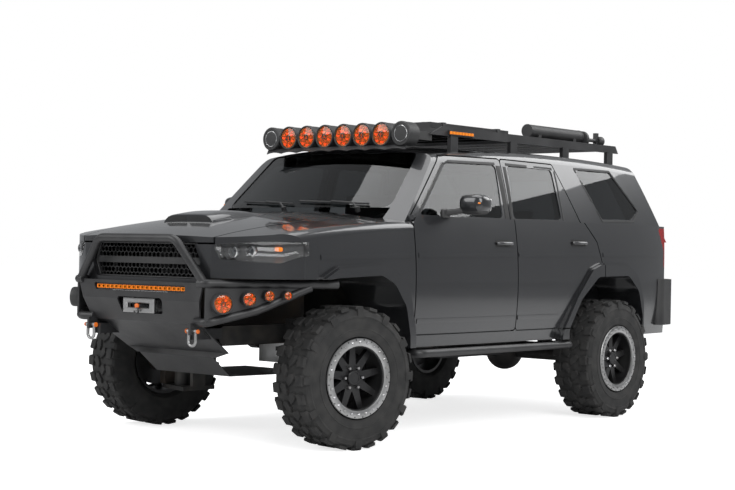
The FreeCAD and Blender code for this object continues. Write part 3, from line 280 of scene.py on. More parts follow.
class Finish(Enum):
    """Every finish on the car."""

    BODY = Paint("body_paint", (0.034, 0.035, 0.038), (0.014, 0.0145, 0.016))
    ARMOUR = Coating("armour_black", (0.012, 0.012, 0.013), (0.03, 0.03, 0.031), (0.38, 0.5))
    CHASSIS = Coating("chassis_black", (0.014, 0.014, 0.014), (0.045, 0.04, 0.035), (0.5, 0.75), patch=9.0)
    TRIM = Coating("trim_black", (0.016, 0.016, 0.017), (0.03, 0.03, 0.03), (0.45, 0.6), 1600.0, 0.0001)
    GLASS = Glass("tinted_glass", (0.15, 0.16, 0.165))
    LENS = Glass("lamp_cover", (0.95, 0.96, 0.97), bend=1.06, coat=1.0)
    AMBER_LENS = Glass("amber_lens", (1.0, 0.47, 0.09), 0.05, 0.94, 0.01, 1.15, 0.8)
    AMBER = Glass("lamp_amber", (0.95, 0.27, 0.02), 0.08, 0.35, 0.25)
    RED = Glass("lamp_red", (0.33, 0.006, 0.006), 0.06, 0.35, 0.05)
    RUBBER = Coating("tyre_rubber", (0.012, 0.012, 0.012), (0.028, 0.027, 0.026), (0.72, 0.9), 700.0, 0.0004,
                     patch=14.0)
    WHEEL = Coating("wheel_black", (0.012, 0.012, 0.013), (0.03, 0.03, 0.03), (0.3, 0.45), 1200.0, 0.00005, 0.3)
    ALLOY = Coating("bare_alloy", (0.42, 0.42, 0.42), (0.27, 0.27, 0.265), (0.28, 0.45), 600.0, 0.0001, 1.0)
    STEEL = Coating("bright_steel", (0.45, 0.45, 0.46), (0.25, 0.24, 0.23), (0.2, 0.4), 500.0, 0.0001, 1.0)
    IRON = Coating("cast_iron", (0.05, 0.047, 0.044), (0.10, 0.075, 0.055), (0.6, 0.85), 300.0, 0.0006, 0.5)
    FABRIC = Cloth("seat_fabric", (0.012, 0.012, 0.013), (0.035, 0.035, 0.037))
    ORANGE = Coating("pin_orange", (0.75, 0.16, 0.015), (0.55, 0.10, 0.012), (0.35, 0.5))
    SILVER = Coating("bright_ring", (0.70, 0.70, 0.70), (0.55, 0.55, 0.55), (0.15, 0.28), 400.0, 0.00004, 1.0)
    REFLECTOR = Coating("amber_reflector", (0.95, 0.55, 0.16), (0.85, 0.45, 0.10), (0.1, 0.2), 300.0, 0.00004, 0.9)
    DEEP_AMBER = Coating("amber_shade", (0.30, 0.085, 0.012), (0.22, 0.06, 0.01), (0.2, 0.4), 300.0, 0.00004, 0.5)
    PROJECTOR = Coating("projector_glass", (0.045, 0.05, 0.055), (0.06, 0.06, 0.065), (0.03, 0.06), 200.0, 0.00002,
                        0.6)
    BOWL = Coating("lamp_bowl", (0.02, 0.02, 0.021), (0.035, 0.035, 0.035), (0.3, 0.45), 800.0, 0.0001)
    # Near-black for seams, pillar blackouts and handle escutcheons; also painted shade as the dark box behind the
    # grille mesh and the plates in the hood intake's mouth.
    NEAR_BLACK_AND_SHADE = Coating("near_black_and_painted_shade", (0.006, 0.006, 0.006), (0.011, 0.011, 0.011), (0.4, 0.6), 900.0, 0.00005)
    INTERIOR = Coating("cabin_plastic", (0.02, 0.02, 0.021), (0.035, 0.035, 0.036), (0.55, 0.7), 1300.0, 0.0002)

    def __init__(self, recipe: Paint | Coating | Glass | Cloth) -> None:
        """Keeps the recipe and makes room for its material."""
        self.recipe = recipe
        self.made: bpy.types.Material | None = None

    @property
    def material(self) -> bpy.types.Material:
        """The material, made when first asked for."""
        if self.made is None:
            self.made = self.recipe.build()
        return self.made


def dress(name: str, finish: Finish) -> None:
    """Gives a CAD node its finish.

    Args:
        name: The node's name.
        finish: Its finish.
    """
    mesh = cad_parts[name].data
    mesh.materials.clear()
    mesh.materials.append(finish.material)


@dataclass
class Coachwork:
    """The painted and glazed nodes that keep their CAD form."""

    sides: tuple[str, str] = ("left", "right")
    finishes: dict[str, Finish] = field(default_factory=lambda: {
        "roof_panel": Finish.BODY, "fixed_glass": Finish.GLASS, "floor_pan": Finish.CHASSIS,
        "tail_lamps": Finish.RED, "tailgate": Finish.BODY, "tailgate_glass": Finish.GLASS,
        "hood": Finish.BODY, "front_fascia": Finish.BODY, "headlamps": Finish.LENS, "grille": Finish.TRIM,
        "cowl": Finish.TRIM, "front_suspension": Finish.CHASSIS, "ladder_frame": Finish.CHASSIS,
        "rear_axle": Finish.CHASSIS, "rear_springs": Finish.CHASSIS, "propshaft": Finish.CHASSIS,
        "engine_block": Finish.IRON, "gearbox": Finish.ALLOY, "fuel_tank": Finish.TRIM,
        "exhaust": Finish.STEEL, "front_seats": Finish.FABRIC, "rear_seat": Finish.FABRIC,
        "dashboard": Finish.INTERIOR, "steering_wheel": Finish.INTERIOR, "front_bumper": Finish.ARMOUR,
        "winch": Finish.ARMOUR, "bumper_lamps": Finish.TRIM, "recovery_shackles": Finish.ALLOY,
        "skid_plate": Finish.ARMOUR, "rock_sliders": Finish.ARMOUR, "roof_rack": Finish.ARMOUR,
        "roof_lamps": Finish.TRIM, "rack_panel": Finish.ARMOUR, "rack_canister": Finish.TRIM,
        "rear_bumper": Finish.TRIM})
    paired: dict[str, Finish] = field(default_factory=lambda: {
        "body_side": Finish.BODY, "front_fender": Finish.BODY, "front_door": Finish.BODY,
        "rear_door": Finish.BODY, "front_door_glass": Finish.GLASS, "rear_door_glass": Finish.GLASS,
        "mirror": Finish.TRIM, "tyre_front": Finish.RUBBER, "tyre_rear": Finish.RUBBER,
        "rim_front": Finish.WHEEL, "rim_rear": Finish.WHEEL, "knuckle": Finish.IRON})

    def build(self) -> None:
        """Dresses each node."""
        for name, finish in self.finishes.items():
            dress(name, finish)
        for name, finish in self.paired.items():
            for side in self.sides:
                dress(f"{name}_{side}", finish)


class Mesh:
    """Gathers vertices and faces, with a finish for each face."""

    def __init__(self) -> None:
        """Starts empty."""
        self.points: list[Vector] = []
        self.faces: list[tuple[int, ...]] = []
        self.finishes: list[int] = []
        self.used: list["Finish"] = []

    def add(self, points: Iterable[Sequence[float]], faces: Iterable[Sequence[int]], finish: "Finish") -> None:
        """Adds a patch.

        Args:
            points: Its vertices.
            faces: Vertex numbers within the patch.
            finish: Its finish.
        """
        if finish not in self.used:
            self.used.append(finish)
        start = len(self.points)
        self.points += [Vector(p) for p in points]
        for face in faces:
            self.faces.append(tuple(start + i for i in face))
            self.finishes.append(self.used.index(finish))

    def loft(self, rings: Sequence[Sequence[Sequence[float]]], finish: "Finish", closed: bool = True,
             capped: bool = True) -> None:
        """Joins rings of equal length into a skin.

        Args:
            rings: The rings, in order.
            finish: The skin's finish.
            closed: Whether each ring returns to its start.
            capped: Whether the two end rings get faces.
        """
        size = len(rings[0])
        faces: list[tuple[int, ...]] = []
        for row in range(len(rings) - 1):
            for i in range(size if closed else size - 1):
                j = (i + 1) % size
                faces.append((row * size + i, row * size + j, (row + 1) * size + j, (row + 1) * size + i))
        if capped:
            faces.append(tuple(range(size - 1, -1, -1)))
            faces.append(tuple(range((len(rings) - 1) * size, len(rings) * size)))
        self.add([p for ring in rings for p in ring], faces, finish)

    def prism(self, outline: Sequence[Vector], run: Vector, finish: "Finish") -> None:
        """Carries a flat outline along a run.

        Args:
            outline: The outline's corners.
            run: How far it goes.
            finish: Its finish.
        """
        self.loft([outline, [Vector(p) + run for p in outline]], finish)

    def box(self, low: Sequence[float], high: Sequence[float], finish: "Finish") -> None:
        """Adds a box between two corners.

        Args:
            low: The lowest corner.
            high: The highest corner.
            finish: Its finish.
        """
        (x0, y0, z0), (x1, y1, z1) = low, high
        self.prism([Vector((x0, y0, z0)), Vector((x1, y0, z0)), Vector((x1, y1, z0)), Vector((x0, y1, z0))],
                   Vector((0, 0, z1 - z0)), finish)

    def lathe(self, profile: Sequence[tuple[float, float]], centre: Vector, axis: Vector, finish: "Finish",
              steps: int = 32, ring: bool = False) -> None:
        """Turns a profile about an axis.

        Args:
            profile: Radius and distance along the axis.
            centre: A point on the axis.
            axis: The axis.
            finish: Its finish.
            steps: Segments round the axis.
            ring: Whether the profile returns to its start.
        """
        ahead = Vector(axis).normalized()
        side = ahead.orthogonal().normalized()
        up = ahead.cross(side)
        rings = []
        for radius, along in list(profile) + ([profile[0]] if ring else []):
            rings.append([Vector(centre) + ahead * along
                          + (side * math.cos(turn) + up * math.sin(turn)) * max(radius, 1e-5)
                          for turn in (2 * math.pi * i / steps for i in range(steps))])
        self.loft(rings, finish, capped=not ring)

    def tube(self, path: Sequence[Sequence[float]], radius: float, finish: "Finish", steps: int = 10) -> None:
        """Lays a round bar along a path.

        Args:
            path: The points of its middle line.
            radius: Its radius.
            finish: Its finish.
            steps: Sides round the bar.
        """
        line = [Vector(p) for p in path]
        rings = []
        side = (line[1] - line[0]).orthogonal().normalized()
        for i, point in enumerate(line):
            ahead = (line[min(i + 1, len(line) - 1)] - line[max(i - 1, 0)]).normalized()
            side = (side - ahead * side.dot(ahead)).normalized()
            up = ahead.cross(side)
            rings.append([point + (side * math.cos(turn) + up * math.sin(turn)) * radius
                          for turn in (2 * math.pi * j / steps for j in range(steps))])
        self.loft(rings, finish)

    def blob(self, centre: Vector, half: Sequence[float], power: float, finish: "Finish", steps: int = 24) -> None:
        """Adds a rounded box.

        Args:
            centre: Its middle.
            half: Its half sizes.
            power: 2 is an ellipsoid, more is squarer.
            finish: Its finish.
            steps: Segments round it.
        """
        def bent(value: float) -> float:
            return math.copysign(abs(value) ** (2 / power), value)

        rings = []
        for j in range(1, steps // 2):
            tilt = math.pi * j / (steps // 2) - math.pi / 2
            ring = []
            for i in range(steps):
                turn = 2 * math.pi * i / steps
                ring.append(Vector(centre) + Vector((half[0] * bent(math.cos(tilt)) * bent(math.cos(turn)),
                                                     half[1] * bent(math.cos(tilt)) * bent(math.sin(turn)),
                                                     half[2] * bent(math.sin(tilt)))))
            rings.append(ring)
        self.loft(rings, finish)

    def piece(self, name: str, body: str, slot: str, matrix: Matrix | None = None, smooth: float = 35.0,
              replaces: Sequence[str] = ()) -> bpy.types.Object:
        """Makes the object and puts it on its body.

        Args:
            name: The piece's name.
            body: The body that it rides on.
            slot: Not used.
            matrix: Where the whole mesh goes.
            smooth: Edges below this angle are smooth.
            replaces: CAD nodes that it stands for.

        Returns:
            The object.
        """
        mesh = bpy.data.meshes.new(name)
        mesh.from_pydata(self.points, [], self.faces)
        for finish in self.used:
            mesh.materials.append(finish.material)
        mesh.polygons.foreach_set("material_index", self.finishes)
        if matrix is not None:
            mesh.transform(matrix)
        work = bmesh.new()
        work.from_mesh(mesh)
        bmesh.ops.remove_doubles(work, verts=work.verts, dist=1e-5)
        bmesh.ops.dissolve_degenerate(work, edges=work.edges, dist=1e-6)
        bmesh.ops.recalc_face_normals(work, faces=work.faces)
        work.to_mesh(mesh)
        work.free()
        mesh.shade_smooth()
        mesh.set_sharp_from_angle(angle=math.radians(smooth))
        return place(name, mesh, body, slot, replaces)


def place(name: str, mesh: bpy.types.Mesh, body: str, slot: str, replaces: Sequence[str] = ()) -> bpy.types.Object:
    """Adds a mesh to the scene as a piece.

    Args:
        name: The piece's name.
        mesh: Its mesh.
        body: The body that it rides on.
        slot: Not used.
        replaces: CAD nodes that it stands for.

    Returns:
        The object.
    """
    item = bpy.data.objects.new(name, mesh)
    bpy.context.scene.collection.objects.link(item)
    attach(item, body)
    if replaces:
        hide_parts(*replaces)
    return item


class Pattern:
    """Repeats a source shape with Geometry Nodes and returns plain meshes."""

    def __init__(self) -> None:
        """Builds the two trees: round an axis, and along rows."""
        self.round_tree = self._round()
        self.grid_tree = self._grid()

    @staticmethod
    def _start(name: str, inputs: Sequence[tuple[str, str]]) -> tuple[bpy.types.GeometryNodeTree, bpy.types.Node]:
        """Makes a tree with its named inputs.

        Args:
            name: The tree's name.
            inputs: Names and socket types.

        Returns:
            The tree and its input node.
        """
        tree = bpy.data.node_groups.new(name, "GeometryNodeTree")
        tree.interface.new_socket("Geometry", in_out="OUTPUT", socket_type="NodeSocketGeometry")
        for label, kind in inputs:
            tree.interface.new_socket(label, in_out="INPUT", socket_type=kind)
        return tree, tree.nodes.new("NodeGroupInput")

    @staticmethod
    def _finish(tree: bpy.types.GeometryNodeTree, given: bpy.types.Node, copies: bpy.types.NodeSocket) -> None:
        """Ends a tree in real geometry with a material.

        Args:
            tree: The tree.
            given: Its input node.
            copies: The instances.
        """
        real = tree.nodes.new("GeometryNodeRealizeInstances")
        coat = tree.nodes.new("GeometryNodeSetMaterial")
        out = tree.nodes.new("NodeGroupOutput")
        tree.links.new(copies, real.inputs["Geometry"])
        tree.links.new(real.outputs["Geometry"], coat.inputs["Geometry"])
        tree.links.new(given.outputs["Finish"], coat.inputs["Material"])
        tree.links.new(coat.outputs["Geometry"], out.inputs["Geometry"])

    @staticmethod
    def _source(tree: bpy.types.GeometryNodeTree, given: bpy.types.Node) -> bpy.types.NodeSocket:
        """Reads the source object.

        Args:
            tree: The tree.
            given: Its input node.

        Returns:
            The source's geometry.
        """
        info = tree.nodes.new("GeometryNodeObjectInfo")
        tree.links.new(given.outputs["Source"], info.inputs["Object"])
        return info.outputs["Geometry"]

    def _round(self) -> bpy.types.GeometryNodeTree:
        """Copies of a source turned evenly about its Y axis."""
        tree, given = self._start("copies_round_axis", (
            ("Source", "NodeSocketObject"), ("Count", "NodeSocketInt"), ("Step", "NodeSocketVector"),
            ("Finish", "NodeSocketMaterial")))
        line = tree.nodes.new("GeometryNodeMeshLine")
        copy = tree.nodes.new("GeometryNodeInstanceOnPoints")
        turn = tree.nodes.new("GeometryNodeRotateInstances")
        index = tree.nodes.new("GeometryNodeInputIndex")
        scale = tree.nodes.new("ShaderNodeVectorMath")
        scale.operation = "SCALE"
        line.inputs["Offset"].default_value = (0.0, 0.0, 0.0)
        tree.links.new(given.outputs["Count"], line.inputs["Count"])
        tree.links.new(line.outputs["Mesh"], copy.inputs["Points"])
        tree.links.new(self._source(tree, given), copy.inputs["Instance"])
        tree.links.new(given.outputs["Step"], scale.inputs[0])
        tree.links.new(index.outputs["Index"], scale.inputs["Scale"])
        tree.links.new(scale.outputs["Vector"], turn.inputs["Rotation"])
        tree.links.new(copy.outputs["Instances"], turn.inputs["Instances"])
        self._finish(tree, given, turn.outputs["Instances"])
        return tree

    def _grid(self) -> bpy.types.GeometryNodeTree:
        """Copies of a source on a row of evenly spaced places."""
        tree, given = self._start("copies_in_row", (
            ("Source", "NodeSocketObject"), ("Count", "NodeSocketInt"), ("Start", "NodeSocketVector"),
            ("Step", "NodeSocketVector"), ("Finish", "NodeSocketMaterial")))
        line = tree.nodes.new("GeometryNodeMeshLine")
        copy = tree.nodes.new("GeometryNodeInstanceOnPoints")
        tree.links.new(given.outputs["Count"], line.inputs["Count"])
        tree.links.new(given.outputs["Start"], line.inputs["Start Location"])
        tree.links.new(given.outputs["Step"], line.inputs["Offset"])
        tree.links.new(line.outputs["Mesh"], copy.inputs["Points"])
        tree.links.new(self._source(tree, given), copy.inputs["Instance"])
        self._finish(tree, given, copy.outputs["Instances"])
        return tree

    def _make(self, tree: bpy.types.GeometryNodeTree, source: Mesh, finish: "Finish",
              **values: object) -> bpy.types.Mesh:
        """Runs a tree and keeps its result.

        Args:
            tree: The tree.
            source: The shape that is copied.
            finish: The copies' finish.
            **values: The tree's other inputs by name.

        Returns:
            The plain mesh.
        """
        seed = bpy.data.meshes.new("pattern_source")
        seed.from_pydata(source.points, [], source.faces)
        original = bpy.data.objects.new("pattern_source", seed)
        host = bpy.data.objects.new("pattern_host", bpy.data.meshes.new("pattern_host"))
        for item in (original, host):
            bpy.context.scene.collection.objects.link(item)
        modifier = host.modifiers.new("pattern", "NODES")
        modifier.node_group = tree
        given = {"Source": original, "Finish": finish.material, **values}
        for item in tree.interface.items_tree:
            if item.in_out == "INPUT":
                modifier[item.identifier] = given[item.name]
        made = host.evaluated_get(bpy.context.evaluated_depsgraph_get())
        mesh = bpy.data.meshes.new_from_object(made)
        host.modifiers.remove(modifier)
        for item in (host, original):
            bpy.data.objects.remove(item)
        return mesh

    def round(self, target: Mesh, source: Mesh, count: int, finish: "Finish") -> None:
        """Adds copies round the Y axis to a mesh.

        Args:
            target: Where the copies go.
            source: What is copied.
            count: How many copies fill the circle.
            finish: Their finish.
        """
        absorb(target, self._make(self.round_tree, source, finish, Count=count,
                                  Step=(0.0, 2 * math.pi / count, 0.0)), finish)

    def row(self, target: Mesh, source: Mesh, count: int, start: Sequence[float], step: Sequence[float],
            finish: "Finish") -> None:
        """Adds copies along a row to a mesh.

        Args:
            target: Where the copies go.
            source: What is copied.
            count: How many copies there are.
            start: The first place.
            step: From one place to the next.
            finish: Their finish.
        """
        absorb(target, self._make(self.grid_tree, source, finish, Count=count, Start=tuple(start),
                                  Step=tuple(step)), finish)


def absorb(target: Mesh, mesh: bpy.types.Mesh, finish: "Finish") -> None:
    """Adds a plain mesh to a gathered one and drops it.

    Args:
        target: Where it goes.
        mesh: What is added.
        finish: Its finish.
    """
    target.add([v.co.copy() for v in mesh.vertices], [tuple(p.vertices) for p in mesh.polygons], finish)
    bpy.data.meshes.remove(mesh)


class Skin:
    """The CAD outside, felt for with rays so that trim follows it."""

    step_limit = 0.02
    edge_lift = 0.0003
    edge_share = 0.8
    side_start = 1.2
    side_plane = 0.9
    front_start = 3.5
    front_plane = 2.28

    def __init__(self, nodes: Sequence[str]) -> None:
        """Builds the search tree.

        Args:
            nodes: The CAD nodes that carry the trim.
        """
        points: list[Vector] = []
        faces: list[tuple[int, ...]] = []
        for name in nodes:
            start = len(points)
            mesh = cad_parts[name].data
            points += [v.co.copy() for v in mesh.vertices]
            faces += [tuple(start + i for i in p.vertices) for p in mesh.polygons]
        self.tree = BVHTree.FromPolygons(points, faces)

    def side(self, x: float, z: float) -> Vector:
        """A point on the left side.

        Args:
            x: Its place along the car.
            z: Its height.

        Returns:
            The point, or one on a plain upright plane where the ray meets nothing.
        """
        hit = self.tree.ray_cast(Vector((x, self.side_start, z)), Vector((0, -1, 0)))[0]
        return hit if hit is not None else Vector((x, self.side_plane, z))

    def front(self, y: float, z: float, lift: float = 0.0) -> Vector:
        """A point seen from straight ahead.

        Args:
            y: Its place across the car.
            z: Its height.
            lift: How far it stands off.

        Returns:
            The point.
        """
        hit, normal, _, _ = self.tree.ray_cast(Vector((self.front_start, y, z)), Vector((-1, 0, 0)))
        if hit is None:
            return Vector((self.front_plane, y, z))
        return hit + (normal if normal.x > 0 else -normal) * lift

    def band(self, mesh: Mesh, path: Sequence[tuple[float, float]], width: float, thick: float,
             finish: "Finish", step: float = 0.03) -> None:
        """Lays a flat strip along a side-view path.

        Args:
            mesh: Where it goes.
            path: The strip's middle line as (x, z).
            width: Its width.
            thick: How far it stands out.
            finish: Its finish.
            step: The spacing of its sections.
        """
        for (x0, z0), (x1, z1) in zip(path, path[1:]):
            ahead = Vector((x1 - x0, z1 - z0))
            count = max(2, int(ahead.length / step))
            across = Vector((-ahead.y, ahead.x)).normalized() * width / 2
            rings: list[list[Vector]] = []
            for i in range(count + 1):
                spot = Vector((x0, z0)) + ahead * i / count
                low, high = spot - across, spot + across
                feet = [self.side(q.x, q.y) for q in (low, spot, high)]
                if max(q.y for q in feet) - min(q.y for q in feet) > self.step_limit:
                    self.close(mesh, rings, finish)
                    rings = []
                    continue
                lifts = (self.edge_lift, thick * self.edge_share, thick, thick * self.edge_share, self.edge_lift)
                rings.append([feet[foot] + Vector((0, lift, 0)) for foot, lift in zip((0, 0, 1, 2, 2), lifts)])
            self.close(mesh, rings, finish)

    @staticmethod
    def close(mesh: Mesh, rings: Sequence[Sequence[Vector]], finish: "Finish") -> None:
        """Ends a run of sections.

        Args:
            mesh: Where it goes.
            rings: The sections so far.
            finish: Their finish.
        """
        if len(rings) > 1:
            mesh.loft(rings, finish)


def mirrored(matrix: Matrix | None = None) -> Matrix:
    """The other side's matrix."""
    return Matrix.Scale(-1, 4, (0, 1, 0)) @ (matrix or Matrix.Identity(4))


def both_sides(mesh: Mesh, name: str, body: str, slot: str, smooth: float = 35.0,
               replaces: Sequence[str] = ()) -> None:
    """Places a left mesh and its right twin. A body or node that has sides ends in an underscore.

    Args:
        mesh: The left one.
        name: The pieces' name without the side.
        body: Their body, or its start.
        slot: Not used.
        smooth: Edges below this angle are smooth.
        replaces: Starts of the CAD nodes that they stand for.
    """
    for side, matrix in (("left", None), ("right", mirrored())):
        carrier = body + side if body.endswith("_") else body
        mesh.piece(f"{name}_{side}", carrier, slot, matrix, smooth, [node + side for node in replaces])


@dataclass
class Wheels:
    """Mud-terrain tyres and bead-lock rings on the four CAD rims."""

    patterns: Pattern
    radius: float = 0.4195
    half: float = 0.150
    lug: float = 0.015
    pitches: int = 12
    track: float = 0.856
    axle: float = 0.42
    kingpin: float = 0.700
    front: float = 1.465
    rear: float = -1.325
    steer: float = -10.2
    bolts: int = 24
    nuts: int = 6
    segments: int = 96
    outer_wall: tuple[tuple[float, float], ...] = (
        (0.2245, 0.090), (0.2245, 0.1205), (0.2365, 0.1205), (0.243, 0.139), (0.262, 0.146), (0.285, 0.1495),
        (0.287, 0.1515), (0.292, 0.1515), (0.294, 0.149), (0.330, 0.1485), (0.352, 0.1465), (0.356, 0.149),
        (0.362, 0.149), (0.366, 0.145))
    inner_wall: tuple[tuple[float, float], ...] = (
        (0.352, -0.1465), (0.285, -0.1495), (0.243, -0.139), (0.2195, -0.112), (0.2195, -0.090))

    def _lug(self, mesh: Mesh, outline: Sequence[tuple[float, float]], low: float, high: float) -> None:
        """Raises one tread block.

        Args:
            mesh: Where it goes.
            outline: Places round and across the tread.
            low: The radius of its foot.
            high: The radius of its top.
        """
        middle = (sum(p[0] for p in outline) / len(outline), sum(p[1] for p in outline) / len(outline))
        rings = []
        for radius, share in ((low, 1.08), (high - 0.0015, 0.97), (high, 0.9)):
            ring = []
            for u, y in outline:
                angle = (middle[0] + (u - middle[0]) * share) / self.radius
                place_y = middle[1] + (y - middle[1]) * share
                ring.append(Vector((radius * math.sin(angle), place_y, -radius * math.cos(angle))))
            rings.append(ring)
        mesh.loft(rings, Finish.RUBBER)

    def _pitch(self) -> Mesh:
        """Two pitches of tread and shoulder blocks, about the Y axis."""
        mesh = Mesh()
        low, high = self.radius - self.lug - 0.003, self.radius
        span = 2 * math.pi * self.radius / self.pitches / 2
        for turn, long in ((0.0, 1.0), (1.0, 0.82)):
            for side in (-1, 1):
                u = span * (turn + (0.5 if side < 0 else 0.0))
                shoulder = [(u - 0.034, side * 0.082), (u + 0.026, side * 0.074), (u + 0.034, side * 0.128 * long),
                            (u + 0.026, side * 0.137), (u - 0.030, side * 0.137)]
                self._lug(mesh, shoulder, low, high)
                biter = [(u - 0.028, side * 0.128), (u + 0.026, side * 0.128), (u + 0.022, side * 0.150 * long),
                         (u - 0.024, side * 0.150 * long)]
                self._lug(mesh, biter, self.radius - 0.066, self.radius - 0.014)
                block = [(u - 0.040, side * 0.012), (u - 0.010, side * 0.002), (u + 0.030, side * 0.020),
                         (u + 0.036, side * 0.052), (u + 0.008, side * 0.066), (u - 0.016, side * 0.046)]
                self._lug(mesh, block, low, high)
        return mesh

    def tyre(self) -> Mesh:
        """One tyre about the origin, with its outer face towards +Y."""
        mesh = Mesh()
        r, h = self.radius - self.lug, self.half
        profile = [*self.outer_wall, (r - 0.018, h * 0.93), (r - 0.005, h * 0.84), (r, h * 0.68),
                   (r, -h * 0.68), (r - 0.005, -h * 0.84), (r - 0.018, -h * 0.93), *self.inner_wall,
                   (r - 0.03, -h * 0.8), (r - 0.03, h * 0.8)]
        mesh.lathe(profile, Vector((0, 0, 0)), Vector((0, 1, 0)), Finish.RUBBER, self.segments, True)
        self.patterns.round(mesh, self._pitch(), self.pitches, Finish.RUBBER)
        return mesh

    def ring(self) -> Mesh:
        """The bead-lock ring with its bolts, the wheel nuts and the cap."""
        mesh = Mesh()
        axis, centre = Vector((0, 1, 0)), Vector((0, 0, 0))
        mesh.lathe([(0.187, 0.1352), (0.232, 0.1352), (0.235, 0.140), (0.232, 0.1455), (0.224, 0.147), (0.198, 0.147),
                    (0.189, 0.143)], centre, axis, Finish.ALLOY, self.segments, True)
        bolt = Mesh()
        bolt.lathe([(0.0, 0.146), (0.0085, 0.146), (0.0085, 0.152), (0.006, 0.1535), (0.0, 0.1535)],
                   Vector((0.211, 0, 0)), axis, Finish.STEEL, 6)
        self.patterns.round(mesh, bolt, self.bolts, Finish.STEEL)
        notch = Mesh()
        notch.lathe([(0.0, 0.146), (0.0045, 0.146), (0.0045, 0.1478), (0.0, 0.1478)],
                    Vector((0.226 * math.cos(0.131), 0, 0.226 * math.sin(0.131))), axis, Finish.ARMOUR, 8)
        self.patterns.round(mesh, notch, self.bolts, Finish.ARMOUR)
        nut = Mesh()
        nut.lathe([(0.0, 0.078), (0.0115, 0.078), (0.0115, 0.096), (0.008, 0.101), (0.0, 0.101)],
                  Vector((0.064, 0, 0)), axis, Finish.STEEL, 6)
        self.patterns.round(mesh, nut, self.nuts, Finish.STEEL)
        mesh.lathe([(0.0, 0.078), (0.044, 0.078), (0.044, 0.097), (0.040, 0.101), (0.034, 0.101), (0.032, 0.098),
                    (0.0, 0.098)], centre, axis, Finish.WHEEL, 40)
        return mesh

    def build(self) -> None:
        """Puts a tyre and a ring on each wheel."""
        tyre, ring = self.tyre(), self.ring()
        for end, x, steer in (("front", self.front, self.steer), ("rear", self.rear, 0.0)):
            for side, out in (("left", 1), ("right", -1)):
                matrix = Matrix.Translation((x, out * self.track, self.axle))
                if out < 0:
                    matrix = matrix @ mirrored()
                pin = Matrix.Translation((x, out * self.kingpin, 0))
                matrix = pin @ Matrix.Rotation(math.radians(steer), 4, "Z") @ pin.inverted() @ matrix
                body = f"wheel_{end}_{side}"
                tyre.piece(f"tread_{end}_{side}", body, "tyre", matrix, 30.0, [f"tyre_{end}_{side}"])
                ring.piece(f"beadlock_{end}_{side}", body, "alloy", matrix, 30.0)


